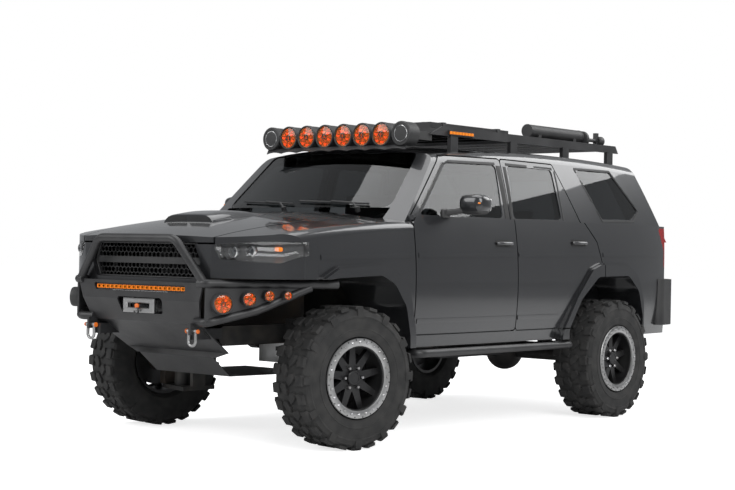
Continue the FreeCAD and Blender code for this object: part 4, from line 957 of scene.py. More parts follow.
@dataclass
class RoundLamps:
    """Bezels, reflectors and lenses on the roof and wing lamps."""

    roof_face: float = 0.6552
    roof_z: float = 1.916
    roof_pitch: float = 0.164
    roof_radius: float = 0.078
    covered: tuple[int, ...] = (0, 7)
    count: int = 8
    wing: tuple[tuple[float, float, float, float], ...] = (
        (2.262, 0.850, 0.060, 0.0), (2.128, 0.878, 0.042, 0.0), (2.025, 0.897, 0.033, 0.0),
        (1.935, 0.900, 0.026, 0.020))
    wing_aim: tuple[float, float, float] = (300.0, 545.0, 0.0)
    wing_deep: float = 0.0463

    def lamp(self, mesh: Mesh, face: Vector, aim: Vector, radius: float, cells: int) -> None:
        """Adds one lit lamp.

        Args:
            mesh: Where it goes.
            face: The middle of the CAD body's face.
            aim: Where it points.
            radius: Its radius.
            cells: Small reflectors round the middle one.
        """
        r = radius
        mesh.lathe([(r * 0.86, 0.0005), (r * 1.02, -0.016), (r * 1.02, 0.010), (r * 0.98, 0.016), (r * 0.90, 0.016),
                    (r * 0.86, 0.010)], face, aim, Finish.TRIM, 48, True)
        mesh.lathe([(0.0, 0.0005), (r * 0.86, 0.0005), (r * 0.86, 0.004), (0.0, 0.002)], face, aim,
                   Finish.DEEP_AMBER, 40)
        side = aim.orthogonal().normalized()
        up = aim.cross(side)
        places = [(0.0, 0.0)] + [(math.cos(2 * math.pi * i / cells), math.sin(2 * math.pi * i / cells))
                                 for i in range(cells)]
        for across, high in places:
            spot = face + (side * across + up * high) * r * 0.54
            mesh.lathe([(r * 0.10, 0.003), (r * 0.25, 0.0095), (r * 0.235, 0.0095), (r * 0.07, 0.0035)], spot, aim,
                       Finish.REFLECTOR, 16, True)
        mesh.lathe([(r * 0.865, 0.0102), (r * 0.7, 0.0125), (r * 0.4, 0.0145), (0.0, 0.0155), (0.0, 0.0125),
                    (r * 0.4, 0.0117), (r * 0.7, 0.0104), (r * 0.865, 0.0100)], face, aim, Finish.AMBER_LENS, 40)
        mesh.lathe([(r * 0.22, 0.0140), (r * 0.22, 0.0185), (r * 0.16, 0.0185), (r * 0.16, 0.0140)], face, aim,
                   Finish.TRIM, 24, True)

    def cover(self, mesh: Mesh, face: Vector, aim: Vector, radius: float) -> None:
        """Adds a plain snap-on cover.

        Args:
            mesh: Where it goes.
            face: The middle of the CAD body's face.
            aim: Where it points.
            radius: Its radius.
        """
        r = radius
        mesh.lathe([(0.0, 0.0005), (r * 1.02, -0.014), (r * 1.02, 0.008), (r * 0.95, 0.014), (r * 0.84, 0.0145),
                    (r * 0.82, 0.0115), (r * 0.5, 0.0135), (0.0, 0.0145)], face, aim, Finish.TRIM, 48)
        mesh.lathe([(r * 0.62, 0.0125), (r * 0.66, 0.0142), (r * 0.70, 0.0118)], face, aim, Finish.SILVER, 40, True)

    def build(self) -> None:
        """Adds the roof row, its bar brackets and both wings' lamps."""
        roof = Mesh()
        ahead = Vector((1, 0, 0))
        for i in range(self.count):
            y = (i - (self.count - 1) / 2) * self.roof_pitch
            face = Vector((self.roof_face, y, self.roof_z))
            if i in self.covered:
                self.cover(roof, face, ahead, self.roof_radius)
            else:
                self.lamp(roof, face, ahead, self.roof_radius, 6)
            roof.box((0.553, y - 0.012, 1.845), (0.577, y + 0.012, 1.90), Finish.TRIM)
        roof.piece("roof_lamp_faces", "root", "lamp_amber")
        wing = Mesh()
        aim = Vector(self.wing_aim).normalized()
        for x, z, radius, off in self.wing:
            base = Vector((x, 0.557 + (2.339 - x) * 0.5505, z)) + aim * (self.wing_deep + off)
            self.lamp(wing, base, aim, radius * 0.97, 5 if radius > 0.04 else 4)
        both_sides(wing, "wing_lamp_faces", "root", "lamp_amber")


@dataclass
class LightBar:
    """The long lamp in the bumper's slot, and one on each rack plate."""

    patterns: Pattern
    half: float = 0.3985
    low: float = 0.9056
    high: float = 0.9444
    face: float = 2.330
    cells: int = 20

    def cell(self, wide: float, tall: float) -> Mesh:
        """One bowl-shaped cell that faces forwards.

        Args:
            wide: Its width.
            tall: Its height.

        Returns:
            The cell about its own middle.
        """
        mesh = Mesh()
        rings = []
        for share, x in ((1.0, 0.0), (1.0, 0.004), (0.86, 0.004), (0.45, -0.003)):
            rings.append([Vector((x, sy * wide / 2 * share, sz * tall / 2 * share))
                          for sy, sz in ((-1, -1), (1, -1), (1, 1), (-1, 1))])
        mesh.loft(rings, Finish.AMBER)
        return mesh

    def build(self) -> None:
        """Adds the bumper's bar and the rack's side lamps."""
        bar = Mesh()
        bar.box((self.face - 0.05, -self.half, self.low), (self.face, self.half, self.high), Finish.TRIM)
        pitch = 2 * (self.half - 0.014) / self.cells
        self.patterns.row(bar, self.cell(pitch * 0.8, 0.022), self.cells,
                          (self.face, -self.half + 0.014 + pitch / 2, (self.low + self.high) / 2), (0, pitch, 0),
                          Finish.AMBER)
        bar.piece("bumper_light_bar", "root", "lamp_amber")
        side = Mesh()
        side.box((-0.03, 0.6285, 1.932), (0.24, 0.646, 1.962), Finish.TRIM)
        for i in range(8):
            x = -0.012 + i * 0.033
            side.box((x, 0.6455, 1.938), (x + 0.025, 0.650, 1.956), Finish.AMBER)
        both_sides(side, "rack_side_lamp", "root", "lamp_amber")


@dataclass
class Grille:
    """The six-sided mesh between hood and bumper, with its frame and bands."""

    patterns: Pattern
    radius: float = 0.0225
    bar: float = 0.0045
    half: float = 0.462
    low: float = 0.989
    high: float = 1.186
    rows: int = 5

    def face(self, y: float) -> float:
        """Where the mesh stands at a place across the car."""
        return 2.2935 - 0.028 * (y / 0.545) ** 2 - 0.004

    def edge(self, z: float) -> float:
        """Half width of the opening at a height."""
        middle = 1.080
        share = (z - middle) / (self.high - middle) if z > middle else (middle - z) / (middle - self.low)
        return self.half - 0.048 * share

    def cell(self) -> Mesh:
        """One six-sided ring about its own middle."""
        mesh = Mesh()
        rings = []
        for radius, x in ((self.radius, 0.0), (self.radius, -0.022), (self.radius - self.bar, -0.022),
                          (self.radius - self.bar, 0.0)):
            rings.append([Vector((x, radius * math.sin(math.pi / 3 * k), radius * math.cos(math.pi / 3 * k)))
                          for k in range(6)])
        mesh.loft(rings + [rings[0]], Finish.TRIM, capped=False)
        return mesh

    def build(self) -> None:
        """Makes the grille in place of the CAD slab."""
        mesh = Mesh()
        pitch = (self.radius - self.bar / 2) * math.sqrt(3)
        rise = (self.radius - self.bar / 2) * 1.5
        count = int((self.high - self.low) / rise) + 1
        for row in range(count):
            z = self.low + 0.006 + row * rise
            if z > self.high - 0.004 or 1.062 < z < 1.108:
                continue
            edge = self.edge(z) - self.radius
            number = int(2 * edge / pitch)
            if (number + row) % 2:
                number -= 1
            self.patterns.row(mesh, self.cell(), number + 1, (0, -number * pitch / 2, z), (0, pitch, 0), Finish.TRIM)
        for point in mesh.points:
            point.x += self.face(point.y)
        steps = 24
        # The first box is near-black painted shade set deep behind the mesh, standing in for the shadowed cavity
        # behind the grille; the second is the trim band across the middle.
        for low, high, depth, proud, finish in ((self.low, self.high, 0.060, -0.026, Finish.NEAR_BLACK_AND_SHADE),
                                                (1.066, 1.104, 0.03, 0.003, Finish.TRIM)):
            rings = []
            for i in range(steps + 1):
                edge = self.half - 0.004 if finish is Finish.NEAR_BLACK_AND_SHADE else min(self.edge(low), self.edge(high))
                y = edge * (2 * i / steps - 1)
                x = self.face(y) + proud
                rings.append([Vector((x, y, low)), Vector((x, y, high)), Vector((x - depth + 0.02, y, high)),
                              Vector((x - depth + 0.02, y, low))])
            mesh.loft(rings, finish)
        corners = [(-0.42, self.high), (0.42, self.high), (self.half, 1.080), (0.42, self.low), (-0.42, self.low),
                   (-self.half, 1.080), (-0.42, self.high)]
        rim: list[tuple[float, float, float]] = []
        for (y0, z0), (y1, z1) in zip(corners, corners[1:]):
            rim += [(self.face(y0 + (y1 - y0) * i / 12) + 0.001, y0 + (y1 - y0) * i / 12, z0 + (z1 - z0) * i / 12)
                    for i in range(12)]
        mesh.tube(rim + [rim[0]], 0.0055, Finish.TRIM, 8)
        mesh.piece("grille_mesh", "root", "trim", replaces=["grille"])


@dataclass
class Headlamps:
    """Clear covers over dark bowls with two projectors and an amber marker."""

    wall: float = 0.003
    inside: tuple[tuple[float, float, float], ...] = ((0.655, 1.142, 0.027), (0.735, 1.146, 0.027))
    marker: tuple[float, float, float] = (0.835, 1.160, 0.018)
    cover_facing: float = 0.012
    unit_depth: float = 0.022
    marker_depth: float = 0.024
    ray_start: float = 3.0

    def build(self) -> None:
        """Splits the CAD lamp into its cover and its bowl, and fills the bowl."""
        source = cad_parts["headlamps"].data
        parts = {"cover": Mesh(), "bowl": Mesh()}
        points = [v.co.copy() for v in source.vertices]
        outer = [p for p in source.polygons if p.normal.x > self.cover_facing]
        inner = [p for p in source.polygons if p.normal.x <= self.cover_facing]
        parts["cover"].add(points, [tuple(p.vertices) for p in outer], Finish.LENS)
        parts["bowl"].add(points, [tuple(p.vertices) for p in inner], Finish.BOWL)
        tree = BVHTree.FromPolygons(points, [tuple(p.vertices) for p in outer])
        pieces = []
        for name, mesh in parts.items():
            item = plain(mesh, f"headlamp_{name}")
            solid = item.modifiers.new("wall", "SOLIDIFY")
            solid.thickness = self.wall
            solid.offset = -1.0
            pieces.append(item)
        units = Mesh()
        for sign in (-1, 1):
            for y, z, radius in self.inside:
                hit = tree.ray_cast(Vector((self.ray_start, sign * y, z)), Vector((-1, 0, 0)))[0]
                if hit is None:
                    continue
                spot = hit - Vector((self.unit_depth, 0, 0))
                aim = Vector((1, 0, 0))
                units.lathe([(radius * 1.25, -0.012), (radius * 1.25, 0.006), (radius * 1.12, 0.009),
                             (radius * 1.02, 0.004), (radius * 1.02, -0.012)], spot, aim, Finish.SILVER, 32, True)
                units.lathe([(radius, -0.012), (radius, 0.0), (radius * 0.75, 0.008), (radius * 0.4, 0.0125),
                             (0.0, 0.014), (0.0, -0.012)], spot, aim, Finish.PROJECTOR, 32)
            y, z, radius = self.marker
            hit = tree.ray_cast(Vector((self.ray_start, sign * y, z)), Vector((-1, 0, 0)))[0]
            if hit is not None:
                units.blob(hit - Vector((self.marker_depth, 0, 0)), (0.010, radius * 1.5, radius * 0.7), 4.0,
                           Finish.AMBER, 16)
        units.piece("headlamp_units", "root", "lamp_clear")
        for item, slot in zip(pieces, ("lamp_clear", "trim")):
            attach(item, "root")
        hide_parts("headlamps")


def plain(mesh: Mesh, name: str) -> bpy.types.Object:
    """Makes an object of a gathered open shell, merged and with its normals as given.

    Args:
        mesh: The shell.
        name: The object's name.

    Returns:
        The object.
    """
    data = bpy.data.meshes.new(name)
    data.from_pydata(mesh.points, [], mesh.faces)
    work = bmesh.new()
    work.from_mesh(data)
    bmesh.ops.remove_doubles(work, verts=work.verts, dist=1e-5)
    loose = [v for v in work.verts if not v.link_faces]
    bmesh.ops.delete(work, geom=loose, context="VERTS")
    work.to_mesh(data)
    work.free()
    for finish in mesh.used:
        data.materials.append(finish.material)
    data.shade_smooth()
    data.set_sharp_from_angle(angle=math.radians(30))
    item = bpy.data.objects.new(name, data)
    bpy.context.scene.collection.objects.link(item)
    return item


@dataclass
class Hood:
    """The hood with a closed intake blister and near-black plates in its forward mouth, painted shade for the
    opening.
    """

    front: float = 1.99
    back: float = 1.49
    half: float = 0.227
    height: float = 0.046
    above: float = 0.004
    below: float = 0.006
    mouth: float = 1.962
    crowns: tuple[tuple[float, float], ...] = ((0.922, 1.418), (1.300, 1.396), (1.800, 1.342), (2.090, 1.290),
                                               (2.420, 1.205))

    def crown(self, x: float) -> float:
        """Height of the hood's middle at a station."""
        for (x0, z0), (x1, z1) in zip(self.crowns, self.crowns[1:]):
            if x <= x1:
                return z0 + (z1 - z0) * (x - x0) / (x1 - x0)
        return self.crowns[-1][1]

    def panel(self) -> BVHTree:
        """Copies the CAD hood with its floating plate laid flat under the skin."""
        mesh = Mesh()
        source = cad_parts["hood"].data
        for vertex in source.vertices:
            point = vertex.co.copy()
            inside = abs(point.y) < self.half and self.back < point.x < self.front
            if inside and point.z > self.crown(point.x) + self.above:
                point.z = self.crown(point.x) - self.below
            mesh.points.append(point)
        mesh.used.append(Finish.BODY)
        mesh.faces = [tuple(p.vertices) for p in source.polygons]
        mesh.finishes = [0] * len(mesh.faces)
        item = plain(mesh, "hood_skin")
        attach(item, "hood")
        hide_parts("hood")
        return BVHTree.FromPolygons([v.co.copy() for v in item.data.vertices],
                                    [tuple(p.vertices) for p in item.data.polygons])

    def ring(self, tree: BVHTree, x: float, rise: float) -> list[Vector]:
        """One section across the blister.

        Args:
            tree: The hood's skin.
            x: The section's station.
            rise: Its height over the skin.

        Returns:
            The section, over the top and back underneath.
        """
        top, under = [], []
        for i in range(25):
            share = 2 * i / 24 - 1
            y = self.half * 0.94 * share
            hit = tree.ray_cast(Vector((x, y, 2.5)), Vector((0, 0, -1)))[0]
            floor = hit.z if hit is not None else self.crown(x)
            top.append(Vector((x, y, floor + rise * (1 - abs(share) ** 7) + 0.0005)))
            under.append(Vector((x, y, floor - 0.004)))
        return top + under[::-1]

    def build(self) -> None:
        """Makes the hood and its blister."""
        tree = self.panel()
        mesh = Mesh()
        stations = [self.back + (1.955 - self.back) * i / 14 for i in range(15)]
        rings = [self.ring(tree, x, self.height * math.sin(math.pi / 2 * min(1.0, i / 11)))
                 for i, x in enumerate(stations)]
        rings.append(self.ring(tree, self.mouth, self.height * 0.93))
        mesh.loft(rings, Finish.BODY)
        # Near-black plates just ahead of the blister's closed front face: painted shade standing in for the shadowed
        # intake opening.
        for low, high in ((-0.185, -0.012), (0.012, 0.185)):
            mouth = []
            for y0, share in ((low, 0.22), (high, 0.22), (high - 0.01, 0.76), (low + 0.01, 0.76)):
                floor = tree.ray_cast(Vector((1.963, y0, 2.5)), Vector((0, 0, -1)))[0]
                mouth.append(Vector((1.9622, y0, (floor.z if floor is not None else self.crown(1.963))
                                     + self.height * share)))
            mesh.prism(mouth, Vector((0.0015, 0, 0)), Finish.NEAR_BLACK_AND_SHADE)
        mesh.piece("hood_intake", "hood", "body_paint", smooth=40.0)


@dataclass
class Trim:
    """Window blackouts, belt mouldings, handles, wipers, mirrors and the spoiler.

    A strip is its middle line as (x, z), its width, how far it stands out, and its finish.
    """

    front_strips: tuple[tuple[tuple[tuple[float, float], ...], float, float, Finish], ...] = (
        (((-0.146, 1.378), (0.72, 1.378), (0.838, 1.376)), 0.022, 0.005, Finish.TRIM),
        (((-0.122, 1.392), (-0.122, 1.745)), 0.044, 0.0022, Finish.NEAR_BLACK_AND_SHADE),
        (((-0.09, 1.757), (0.40, 1.748), (0.455, 1.728), (0.79, 1.405)), 0.017, 0.003, Finish.TRIM))
    rear_strips: tuple[tuple[tuple[tuple[float, float], ...], float, float, Finish], ...] = (
        (((-0.164, 1.380), (-0.80, 1.382)), 0.022, 0.005, Finish.TRIM),
        (((-0.182, 1.394), (-0.194, 1.742)), 0.030, 0.0022, Finish.NEAR_BLACK_AND_SHADE),
        (((-0.215, 1.760), (-0.760, 1.755)), 0.017, 0.003, Finish.TRIM),
        (((-0.786, 1.740), (-0.795, 1.395)), 0.012, 0.003, Finish.TRIM))
    front_handle: tuple[float, float] = (-0.002, 1.225)
    rear_handle: tuple[float, float] = (-0.913, 1.241)
    crease: tuple[float, float, float] = (0.030, 0.0045, 0.05)
    blades: tuple[tuple[float, float], ...] = ((0.56, 0.02), (-0.02, -0.54))
    spoiler_half: float = 0.52

    def doors(self, skin: Skin) -> None:
        """Adds what rides on the side doors.

        Args:
            skin: The left side.
        """
        for door, strips, (x, z) in (("front", self.front_strips, self.front_handle),
                                     ("rear", self.rear_strips, self.rear_handle)):
            mesh = Mesh()
            for path, width, thick, finish in strips:
                skin.band(mesh, path, width, thick, finish)
            self.handle(mesh, skin, x, z)
            both_sides(mesh, f"{door}_door_trim", f"{door}_door_", "trim")

    def handle(self, mesh: Mesh, skin: Skin, x: float, z: float) -> None:
        """Adds a pull with its escutcheon.

        Args:
            mesh: Where it goes.
            skin: The left side.
            x: Its middle.
            z: Its height.
        """
        skin.band(mesh, [(x - 0.095, z), (x + 0.095, z)], 0.046, 0.0016, Finish.NEAR_BLACK_AND_SHADE)
        path = []
        for i in range(13):
            share = 2 * i / 12 - 1
            spot = skin.side(x + share * 0.084, z)
            path.append(spot + Vector((0, 0.006 + 0.026 * (1 - share ** 4), 0)))
        mesh.tube(path, 0.0105, Finish.BODY, 12)

    def windows(self, skin: Skin) -> None:
        """Adds the quarter window's surround.

        Args:
            skin: The left side.
        """
        quarter = Mesh()
        skin.band(quarter, [(-1.055, 1.772), (-1.54, 1.776), (-1.868, 1.49), (-1.76, 1.412), (-1.315, 1.405),
                            (-1.055, 1.772)], 0.016, 0.003, Finish.TRIM)
        both_sides(quarter, "quarter_surround", "root", "trim")

    def wipers(self, glass: Skin) -> None:
        """Adds two wiper arms with blades.

        Args:
            glass: The windscreen.
        """
        mesh = Mesh()
        for start, end in self.blades:
            path = [glass.front(start + (end - start) * i / 8, 1.448 + 0.018 * i / 8, 0.012) for i in range(9)]
            mesh.tube(path, 0.006, Finish.TRIM, 8)
            arm = [Vector((glass.front(start - 0.06, 1.436).x + 0.018, start - 0.06, 1.425)),
                   glass.front(start - 0.10, 1.442, 0.026), glass.front((start + end) / 2, 1.458, 0.018)]
            mesh.tube(arm, 0.0075, Finish.TRIM, 8)
            mesh.lathe([(0.0, -0.02), (0.016, -0.02), (0.016, 0.012), (0.0, 0.016)], arm[0], Vector((0.4, 0, 1)),
                       Finish.TRIM, 16)
        mesh.piece("wipers", "root", "trim")

    def mirrors(self) -> None:
        """Makes both door mirrors."""
        mesh = Mesh()
        mesh.blob(Vector((0.500, 1.052, 1.466)), (0.070, 0.096, 0.062), 3.2, Finish.BODY, 32)
        mesh.blob(Vector((0.498, 1.050, 1.425)), (0.062, 0.088, 0.026), 3.2, Finish.TRIM, 24)
        mesh.blob(Vector((0.434, 1.052, 1.464)), (0.006, 0.078, 0.047), 5.0, Finish.SILVER, 24)
        mesh.tube([(0.600, 0.895, 1.405), (0.585, 0.93, 1.413), (0.540, 0.985, 1.424), (0.515, 1.03, 1.430)], 0.019,
                  Finish.TRIM, 16)
        mesh.blob(Vector((0.603, 0.897, 1.405)), (0.042, 0.016, 0.028), 4.0, Finish.TRIM, 20)
        mesh.blob(Vector((0.556, 1.085, 1.470)), (0.006, 0.052, 0.006), 4.0, Finish.AMBER, 16)
        both_sides(mesh, "door_mirror", "front_door_", "trim", replaces=["mirror_"])

    def spoiler(self) -> None:
        """Adds the lip over the tail window."""
        mesh = Mesh()
        outline = [(-1.990, 1.802), (-1.990, 1.836), (-2.035, 1.853), (-2.110, 1.850), (-2.180, 1.836),
                   (-2.196, 1.826),
                   (-2.188, 1.820), (-2.110, 1.812), (-2.050, 1.800)]
        rings = []
        for i in range(17):
            share = 2 * i / 16 - 1
            y = self.spoiler_half * share
            fall = 0.020 * share ** 4
            rings.append([Vector((x + (0.03 * share ** 4 if x < -2.08 else 0), y, z - fall)) for x, z in outline])
        mesh.loft(rings, Finish.BODY)
        mesh.box((-2.187, -0.12, 1.8235), (-2.180, 0.12, 1.830), Finish.RED)
        mesh.piece("tail_spoiler", "tailgate", "body_paint")

    def lines(self, skin: Skin) -> None:
        """Adds the sill steps, the body creases and the fuel flap's seam on the right side.

        Args:
            skin: The left side.
        """
        for name, body, path in (
                ("front_sill", "front_door_", ((-0.140, 0.735), (0.905, 0.735))),
                ("rear_sill", "rear_door_", ((-0.168, 0.735), (-0.66, 0.735))),
                ("front_crease", "front_door_", ((-0.145, 1.150), (0.900, 1.140))),
                ("rear_crease", "rear_door_", ((-0.166, 1.152), (-1.125, 1.160))),
                ("tail_crease", "root", ((-1.215, 1.162), (-2.05, 1.170))),
                ("wing_crease", "root", ((0.945, 1.138), (1.78, 1.120)))):
            mesh = Mesh()
            width, thick, step = self.crease
            skin.band(mesh, path, width, thick, Finish.BODY, step)
            both_sides(mesh, name, body, "body_paint", 60.0)
        flap = Mesh()
        corners = [(-1.50, 1.235), (-1.66, 1.235), (-1.66, 1.075), (-1.50, 1.075), (-1.50, 1.235)]
        skin.band(flap, corners, 0.006, 0.0006, Finish.NEAR_BLACK_AND_SHADE, 0.04)
        flap.piece("fuel_flap_seam_right", "root", "trim", mirrored())

    def build(self) -> None:
        """Adds all the trim."""
        left = Skin(["front_door_left", "rear_door_left", "body_side_left", "front_fender_left",
                     "front_door_glass_left", "rear_door_glass_left", "fixed_glass"])
        self.doors(left)
        self.windows(left)
        self.lines(left)
        self.wipers(Skin(["fixed_glass", "cowl"]))
        self.mirrors()
        self.spoiler()


@dataclass
class Outfit:
    """Winch rope and fairlead, shackle pins, the front fairing and the load on the rack."""

    patterns: Pattern
    guide_height: float = 0.8205
    rope_wraps: int = 24
    rope_pitch: float = 0.00996
    pin: tuple[float, float, float] = (2.325, 0.441, 0.690)
    fairing_half: float = 0.612
    fairing_scallops: int = 8
    lid_ribs: int = 9
    post: tuple[float, float, float] = (-1.700, 0.54, 2.020)
    canister_ends: tuple[float, float] = (-0.800, -1.458)

    def winch(self) -> None:
        """Adds the rope, its guide and the hook."""
        mesh = Mesh()
        wrap = Mesh()
        wrap.lathe([(0.0405, -0.0045), (0.0500, -0.0045), (0.0515, 0.0), (0.0500, 0.0045), (0.0405, 0.0045)],
                   Vector((0, 0, 0)), Vector((0, 1, 0)), Finish.FABRIC, 28, True)
        self.patterns.row(mesh, wrap, self.rope_wraps, (2.235, -0.1145, 0.815), (0, self.rope_pitch, 0),
                          Finish.FABRIC)
        mesh.tube([(2.285, 0.02, 0.822), (2.318, 0.012, 0.821), (2.350, 0.0, 0.820)], 0.006, Finish.FABRIC, 10)
        rings = []
        for wide, tall, x in ((0.135, 0.042, 2.331), (0.135, 0.042, 2.340), (0.128, 0.036, 2.346),
                              (0.100, 0.018, 2.346), (0.094, 0.013, 2.340), (0.094, 0.013, 2.331)):
            rings.append([Vector((x, sy * wide, self.guide_height + sz * tall))
                          for sy, sz in ((-1, -1), (1, -1), (1, 1), (-1, 1))])
        mesh.loft(rings + [rings[0]], Finish.ALLOY, capped=False)
        mesh.blob(Vector((2.353, 0.0, 0.818)), (0.010, 0.014, 0.014), 3.0, Finish.ORANGE, 16)
        hook = [(2.356, 0.018 * math.sin(turn), 0.790 + 0.018 * math.cos(turn))
                for turn in (math.pi * 1.5 * i / 12 for i in range(13))]
        mesh.tube(hook, 0.0055, Finish.ARMOUR, 10)
        mesh.piece("winch_rope_and_guide", "root", "steel")

    def shackles(self) -> None:
        """Adds a coloured pin to each recovery shackle."""
        mesh = Mesh()
        mesh.lathe([(0.0, -0.046), (0.014, -0.046), (0.014, -0.0415), (0.0, -0.0415)], Vector(self.pin),
                   Vector((0, 1, 0)), Finish.ORANGE, 20)
        mesh.lathe([(0.0, 0.0405), (0.0125, 0.0405), (0.0125, 0.050), (0.0, 0.052)], Vector(self.pin),
                   Vector((0, 1, 0)), Finish.ORANGE, 6)
        both_sides(mesh, "shackle_pin", "root", "lamp_amber")

    def fairing(self) -> None:
        """Adds the curved panel under the roof lamps."""
        mesh = Mesh()
        steps = 48
        rings = []
        for i in range(steps + 1):
            y = self.fairing_half * (2 * i / steps - 1)
            dip = 0.010 * abs(math.sin(math.pi * (i / steps) * self.fairing_scallops))
            bow = 0.045 * (y / self.fairing_half) ** 2
            foot = Vector((0.712 - bow, y, 1.812 + dip))
            head = Vector((0.668 - bow * 0.4, y, 1.846))
            thick = Vector((-0.0025, 0, -0.0025))
            rings.append([foot, head, head + thick, foot + thick])
        mesh.loft(rings, Finish.ARMOUR)
        for y in (-0.56, -0.25, 0.25, 0.56):
            mesh.box((0.570, y - 0.012, 1.842), (0.668, y + 0.012, 1.846), Finish.ARMOUR)
        mesh.piece("lamp_fairing", "root", "armour")

    def load(self) -> None:
        """Adds the disc and post behind the canister, its end caps, and the panel's ribs and straps."""
        mesh = Mesh()
        ahead = Vector((1, 0, 0))
        mesh.lathe([(0.0, -0.012), (0.062, -0.012), (0.062, 0.012), (0.052, 0.016), (0.020, 0.018), (0.0, 0.022)],
                   Vector((-1.505, 0.54, 2.018)), ahead, Finish.TRIM, 40)
        mesh.tube([(-1.450, 0.54, 2.020), self.post], 0.014, Finish.ARMOUR, 12)
        mesh.box((-1.715, 0.525, 1.9725), (-1.685, 0.555, 2.078), Finish.ARMOUR)
        mesh.lathe([(0.0, 0.0), (0.036, 0.0), (0.036, 0.05), (0.028, 0.056), (0.0, 0.056)],
                   Vector(self.post) - Vector((0.07, 0, 0)), ahead, Finish.TRIM, 24)
        for x in self.canister_ends:
            mesh.lathe([(0.0, -0.001), (0.0475, -0.001), (0.0475, 0.009), (0.0, 0.009)], Vector((x, 0.54, 2.035)),
                       ahead, Finish.TRIM, 32)
        rib = Mesh()
        rib.box((-0.40, -0.009, 0.0), (0.40, 0.009, 0.006), Finish.ARMOUR)
        self.patterns.row(mesh, rib, self.lid_ribs, (-0.175, -0.40, 2.0215), (0, 0.10, 0), Finish.ARMOUR)
        strap = Mesh()
        strap.box((-0.0175, -0.505, -0.030), (0.0175, 0.505, 0.0035), Finish.FABRIC)
        self.patterns.row(mesh, strap, 2, (-0.50, 0, 2.024), (0.62, 0, 0), Finish.FABRIC)
        mesh.piece("rack_load_details", "root", "armour")

    def build(self) -> None:
        """Adds all of it."""
        self.winch()
        self.shackles()
        self.fairing()
        self.load()


@dataclass
class Seats:
    """Padded seats, swollen by a short cloth simulation."""

    nodes: tuple[str, ...] = ("front_seats", "rear_seat")
    voxel: float = 0.018
    shrink: float = 0.024
    pressure: float = 4.0
    frames: int = 20
    cap: float = 0.024
    fill: float = 0.7
    solver_steps: int = 4

    def build(self) -> None:
        """Replaces each CAD seat node with a padded copy."""
        for node in self.nodes:
            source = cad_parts[node].data
            shell = Mesh()
            shell.add([v.co.copy() for v in source.vertices], [tuple(p.vertices) for p in source.polygons],
                      Finish.FABRIC)
            item = plain(shell, f"padded_{node}")
            data = item.data
            for vertex, normal in zip(data.vertices, [v.normal.copy() for v in data.vertices]):
                vertex.co -= normal * self.shrink
            remesh = item.modifiers.new("even", "REMESH")
            remesh.mode = "VOXEL"
            remesh.voxel_size = self.voxel
            self._apply(item)
            self._swell(item)
            item.data.materials.clear()
            item.data.materials.append(Finish.FABRIC.material)
            smooth = item.modifiers.new("smooth", "SUBSURF")
            smooth.levels = smooth.render_levels = 1
            item.data.shade_smooth()
            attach(item, "root")
            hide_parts(node)

    @staticmethod
    def _apply(item: bpy.types.Object) -> None:
        """Turns an object's modifiers into its mesh.

        Args:
            item: The object.
        """
        made = item.evaluated_get(bpy.context.evaluated_depsgraph_get())
        mesh = bpy.data.meshes.new_from_object(made)
        item.modifiers.clear()
        item.data = mesh

    def _swell(self, item: bpy.types.Object) -> None:
        """Runs the cloth and keeps a capped part of its move.

        Args:
            item: The seat.
        """
        rest = [v.co.copy() for v in item.data.vertices]
        cloth = item.modifiers.new("cloth", "CLOTH")
        cloth.settings.use_pressure = True
        cloth.settings.uniform_pressure_force = self.pressure
        cloth.settings.effector_weights.gravity = 0.0
        cloth.settings.quality = self.solver_steps
        scene = bpy.context.scene
        for number in range(1, self.frames + 1):
            scene.frame_set(number)
        self._apply(item)
        scene.frame_set(1)
        moved = 0.0
        for vertex, start in zip(item.data.vertices, rest):
            move = vertex.co - start
            if move.length > self.cap:
                vertex.co = start + move.normalized() * self.cap
            moved += (vertex.co - start).length
        LOG.info("%s moved by %.1f mm on average", item.name, 1000 * moved / len(rest))


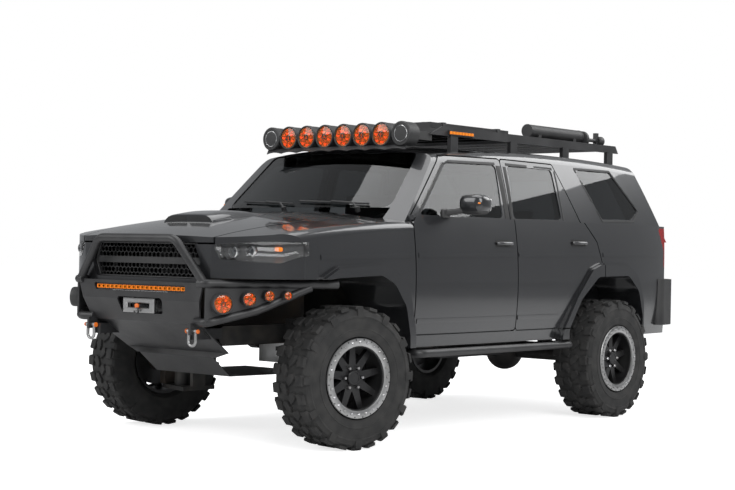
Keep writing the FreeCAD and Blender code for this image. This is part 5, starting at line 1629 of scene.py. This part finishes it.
@dataclass
class Studio:
    """Pale floor, soft lights and the camera at the photograph's viewpoint."""

    eye: tuple[float, float, float] = (8.4274, 6.9313, 1.1689)
    heading: float = 220.4556
    pitch: float = 0.1663
    roll: float = 1.0537
    focal: float = 76.91
    sensor: float = 36.0
    floor_half: float = 60.0
    floor_lift: float = 0.75
    sky: float = 0.34
    lamps: tuple[tuple[tuple[float, float, float], float, float], ...] = (
        ((6.0, 9.0, 7.0), 7.0, 900.0), ((9.0, -5.0, 6.0), 6.0, 420.0), ((-8.0, 4.0, 7.0), 6.0, 420.0),
        ((0.0, 0.0, 9.0), 8.0, 500.0))

    def floor(self) -> None:
        """Lays the floor."""
        mesh = bpy.data.meshes.new("floor")
        half = self.floor_half
        mesh.from_pydata([(-half, -half, 0), (half, -half, 0), (half, half, 0), (-half, half, 0)], [],
                         [(0, 1, 2, 3)])
        item = bpy.data.objects.new("floor", mesh)
        bpy.context.scene.collection.objects.link(item)
        n = Nodes("studio_floor")
        shader = n.add("BsdfPrincipled", Roughness=0.7)
        shader.inputs["Base Color"].default_value = (0.78, 0.78, 0.78, 1.0)
        rays = n.add("LightPath")
        lift = n.add("Math", operation="MULTIPLY")
        n.link(rays.outputs["Is Camera Ray"], lift.inputs[0])
        lift.inputs[1].default_value = self.floor_lift
        shader.inputs["Emission Color"].default_value = (1.0, 1.0, 1.0, 1.0)
        n.link(lift.outputs[0], shader.inputs["Emission Strength"])
        n.link(shader.outputs["BSDF"], n.output.inputs["Surface"])
        mesh.materials.append(n.material)

    def light(self) -> None:
        """Hangs the area lights and sets an even sky."""
        world = bpy.data.worlds.new("studio")
        world.use_nodes = True
        tree = world.node_tree
        soft = tree.nodes["Background"]
        soft.inputs["Color"].default_value = (0.95, 0.97, 1.0, 1.0)
        soft.inputs["Strength"].default_value = self.sky
        white = tree.nodes.new("ShaderNodeBackground")
        white.inputs["Color"].default_value = (1.0, 1.0, 1.0, 1.0)
        rays = tree.nodes.new("ShaderNodeLightPath")
        mix = tree.nodes.new("ShaderNodeMixShader")
        tree.links.new(rays.outputs["Is Camera Ray"], mix.inputs["Fac"])
        tree.links.new(soft.outputs["Background"], mix.inputs[1])
        tree.links.new(white.outputs["Background"], mix.inputs[2])
        tree.links.new(mix.outputs["Shader"], tree.nodes["World Output"].inputs["Surface"])
        bpy.context.scene.world = world
        for i, (place, size, power) in enumerate(self.lamps):
            data = bpy.data.lights.new(f"softbox_{i}", "AREA")
            data.size = size
            data.energy = power
            item = bpy.data.objects.new(f"softbox_{i}", data)
            item.location = place
            item.rotation_euler = (Vector((0, 0, 0.8)) - Vector(place)).to_track_quat("-Z", "Y").to_euler()
            bpy.context.scene.collection.objects.link(item)

    def camera(self) -> None:
        """Stands the camera where the photograph was taken from."""
        turn, tilt, lean = (math.radians(a) for a in (self.heading, self.pitch, self.roll))
        ahead = Vector((math.cos(tilt) * math.cos(turn), math.cos(tilt) * math.sin(turn), math.sin(tilt)))
        right = ahead.cross(Vector((0, 0, 1))).normalized()
        up = right.cross(ahead)
        right, up = (math.cos(lean) * right + math.sin(lean) * up,
                     -math.sin(lean) * right + math.cos(lean) * up)
        data = bpy.data.cameras.new("camera")
        data.lens = self.focal
        data.sensor_width = self.sensor
        item = bpy.data.objects.new("camera", data)
        basis = Matrix((right, up, -ahead)).transposed().to_4x4()
        item.matrix_world = Matrix.Translation(self.eye) @ basis
        bpy.context.scene.collection.objects.link(item)
        bpy.context.scene.camera = item

    def build(self) -> None:
        """Sets the whole studio up."""
        bpy.context.scene.view_settings.view_transform = "Standard"
        self.floor()
        self.light()
        self.camera()


def main() -> None:
    """Builds every sub-assembly in order."""
    logging.basicConfig(level=logging.INFO, format="%(message)s")
    patterns = Pattern()
    for piece in (Studio(), Coachwork(), Wheels(patterns), RoundLamps(), LightBar(patterns),
                  Grille(patterns), Headlamps(), Hood(), Trim(), Outfit(patterns), Seats()):
        piece.build()
        LOG.info("built %s", type(piece).__name__)


if __name__ == "__main__":
    main()
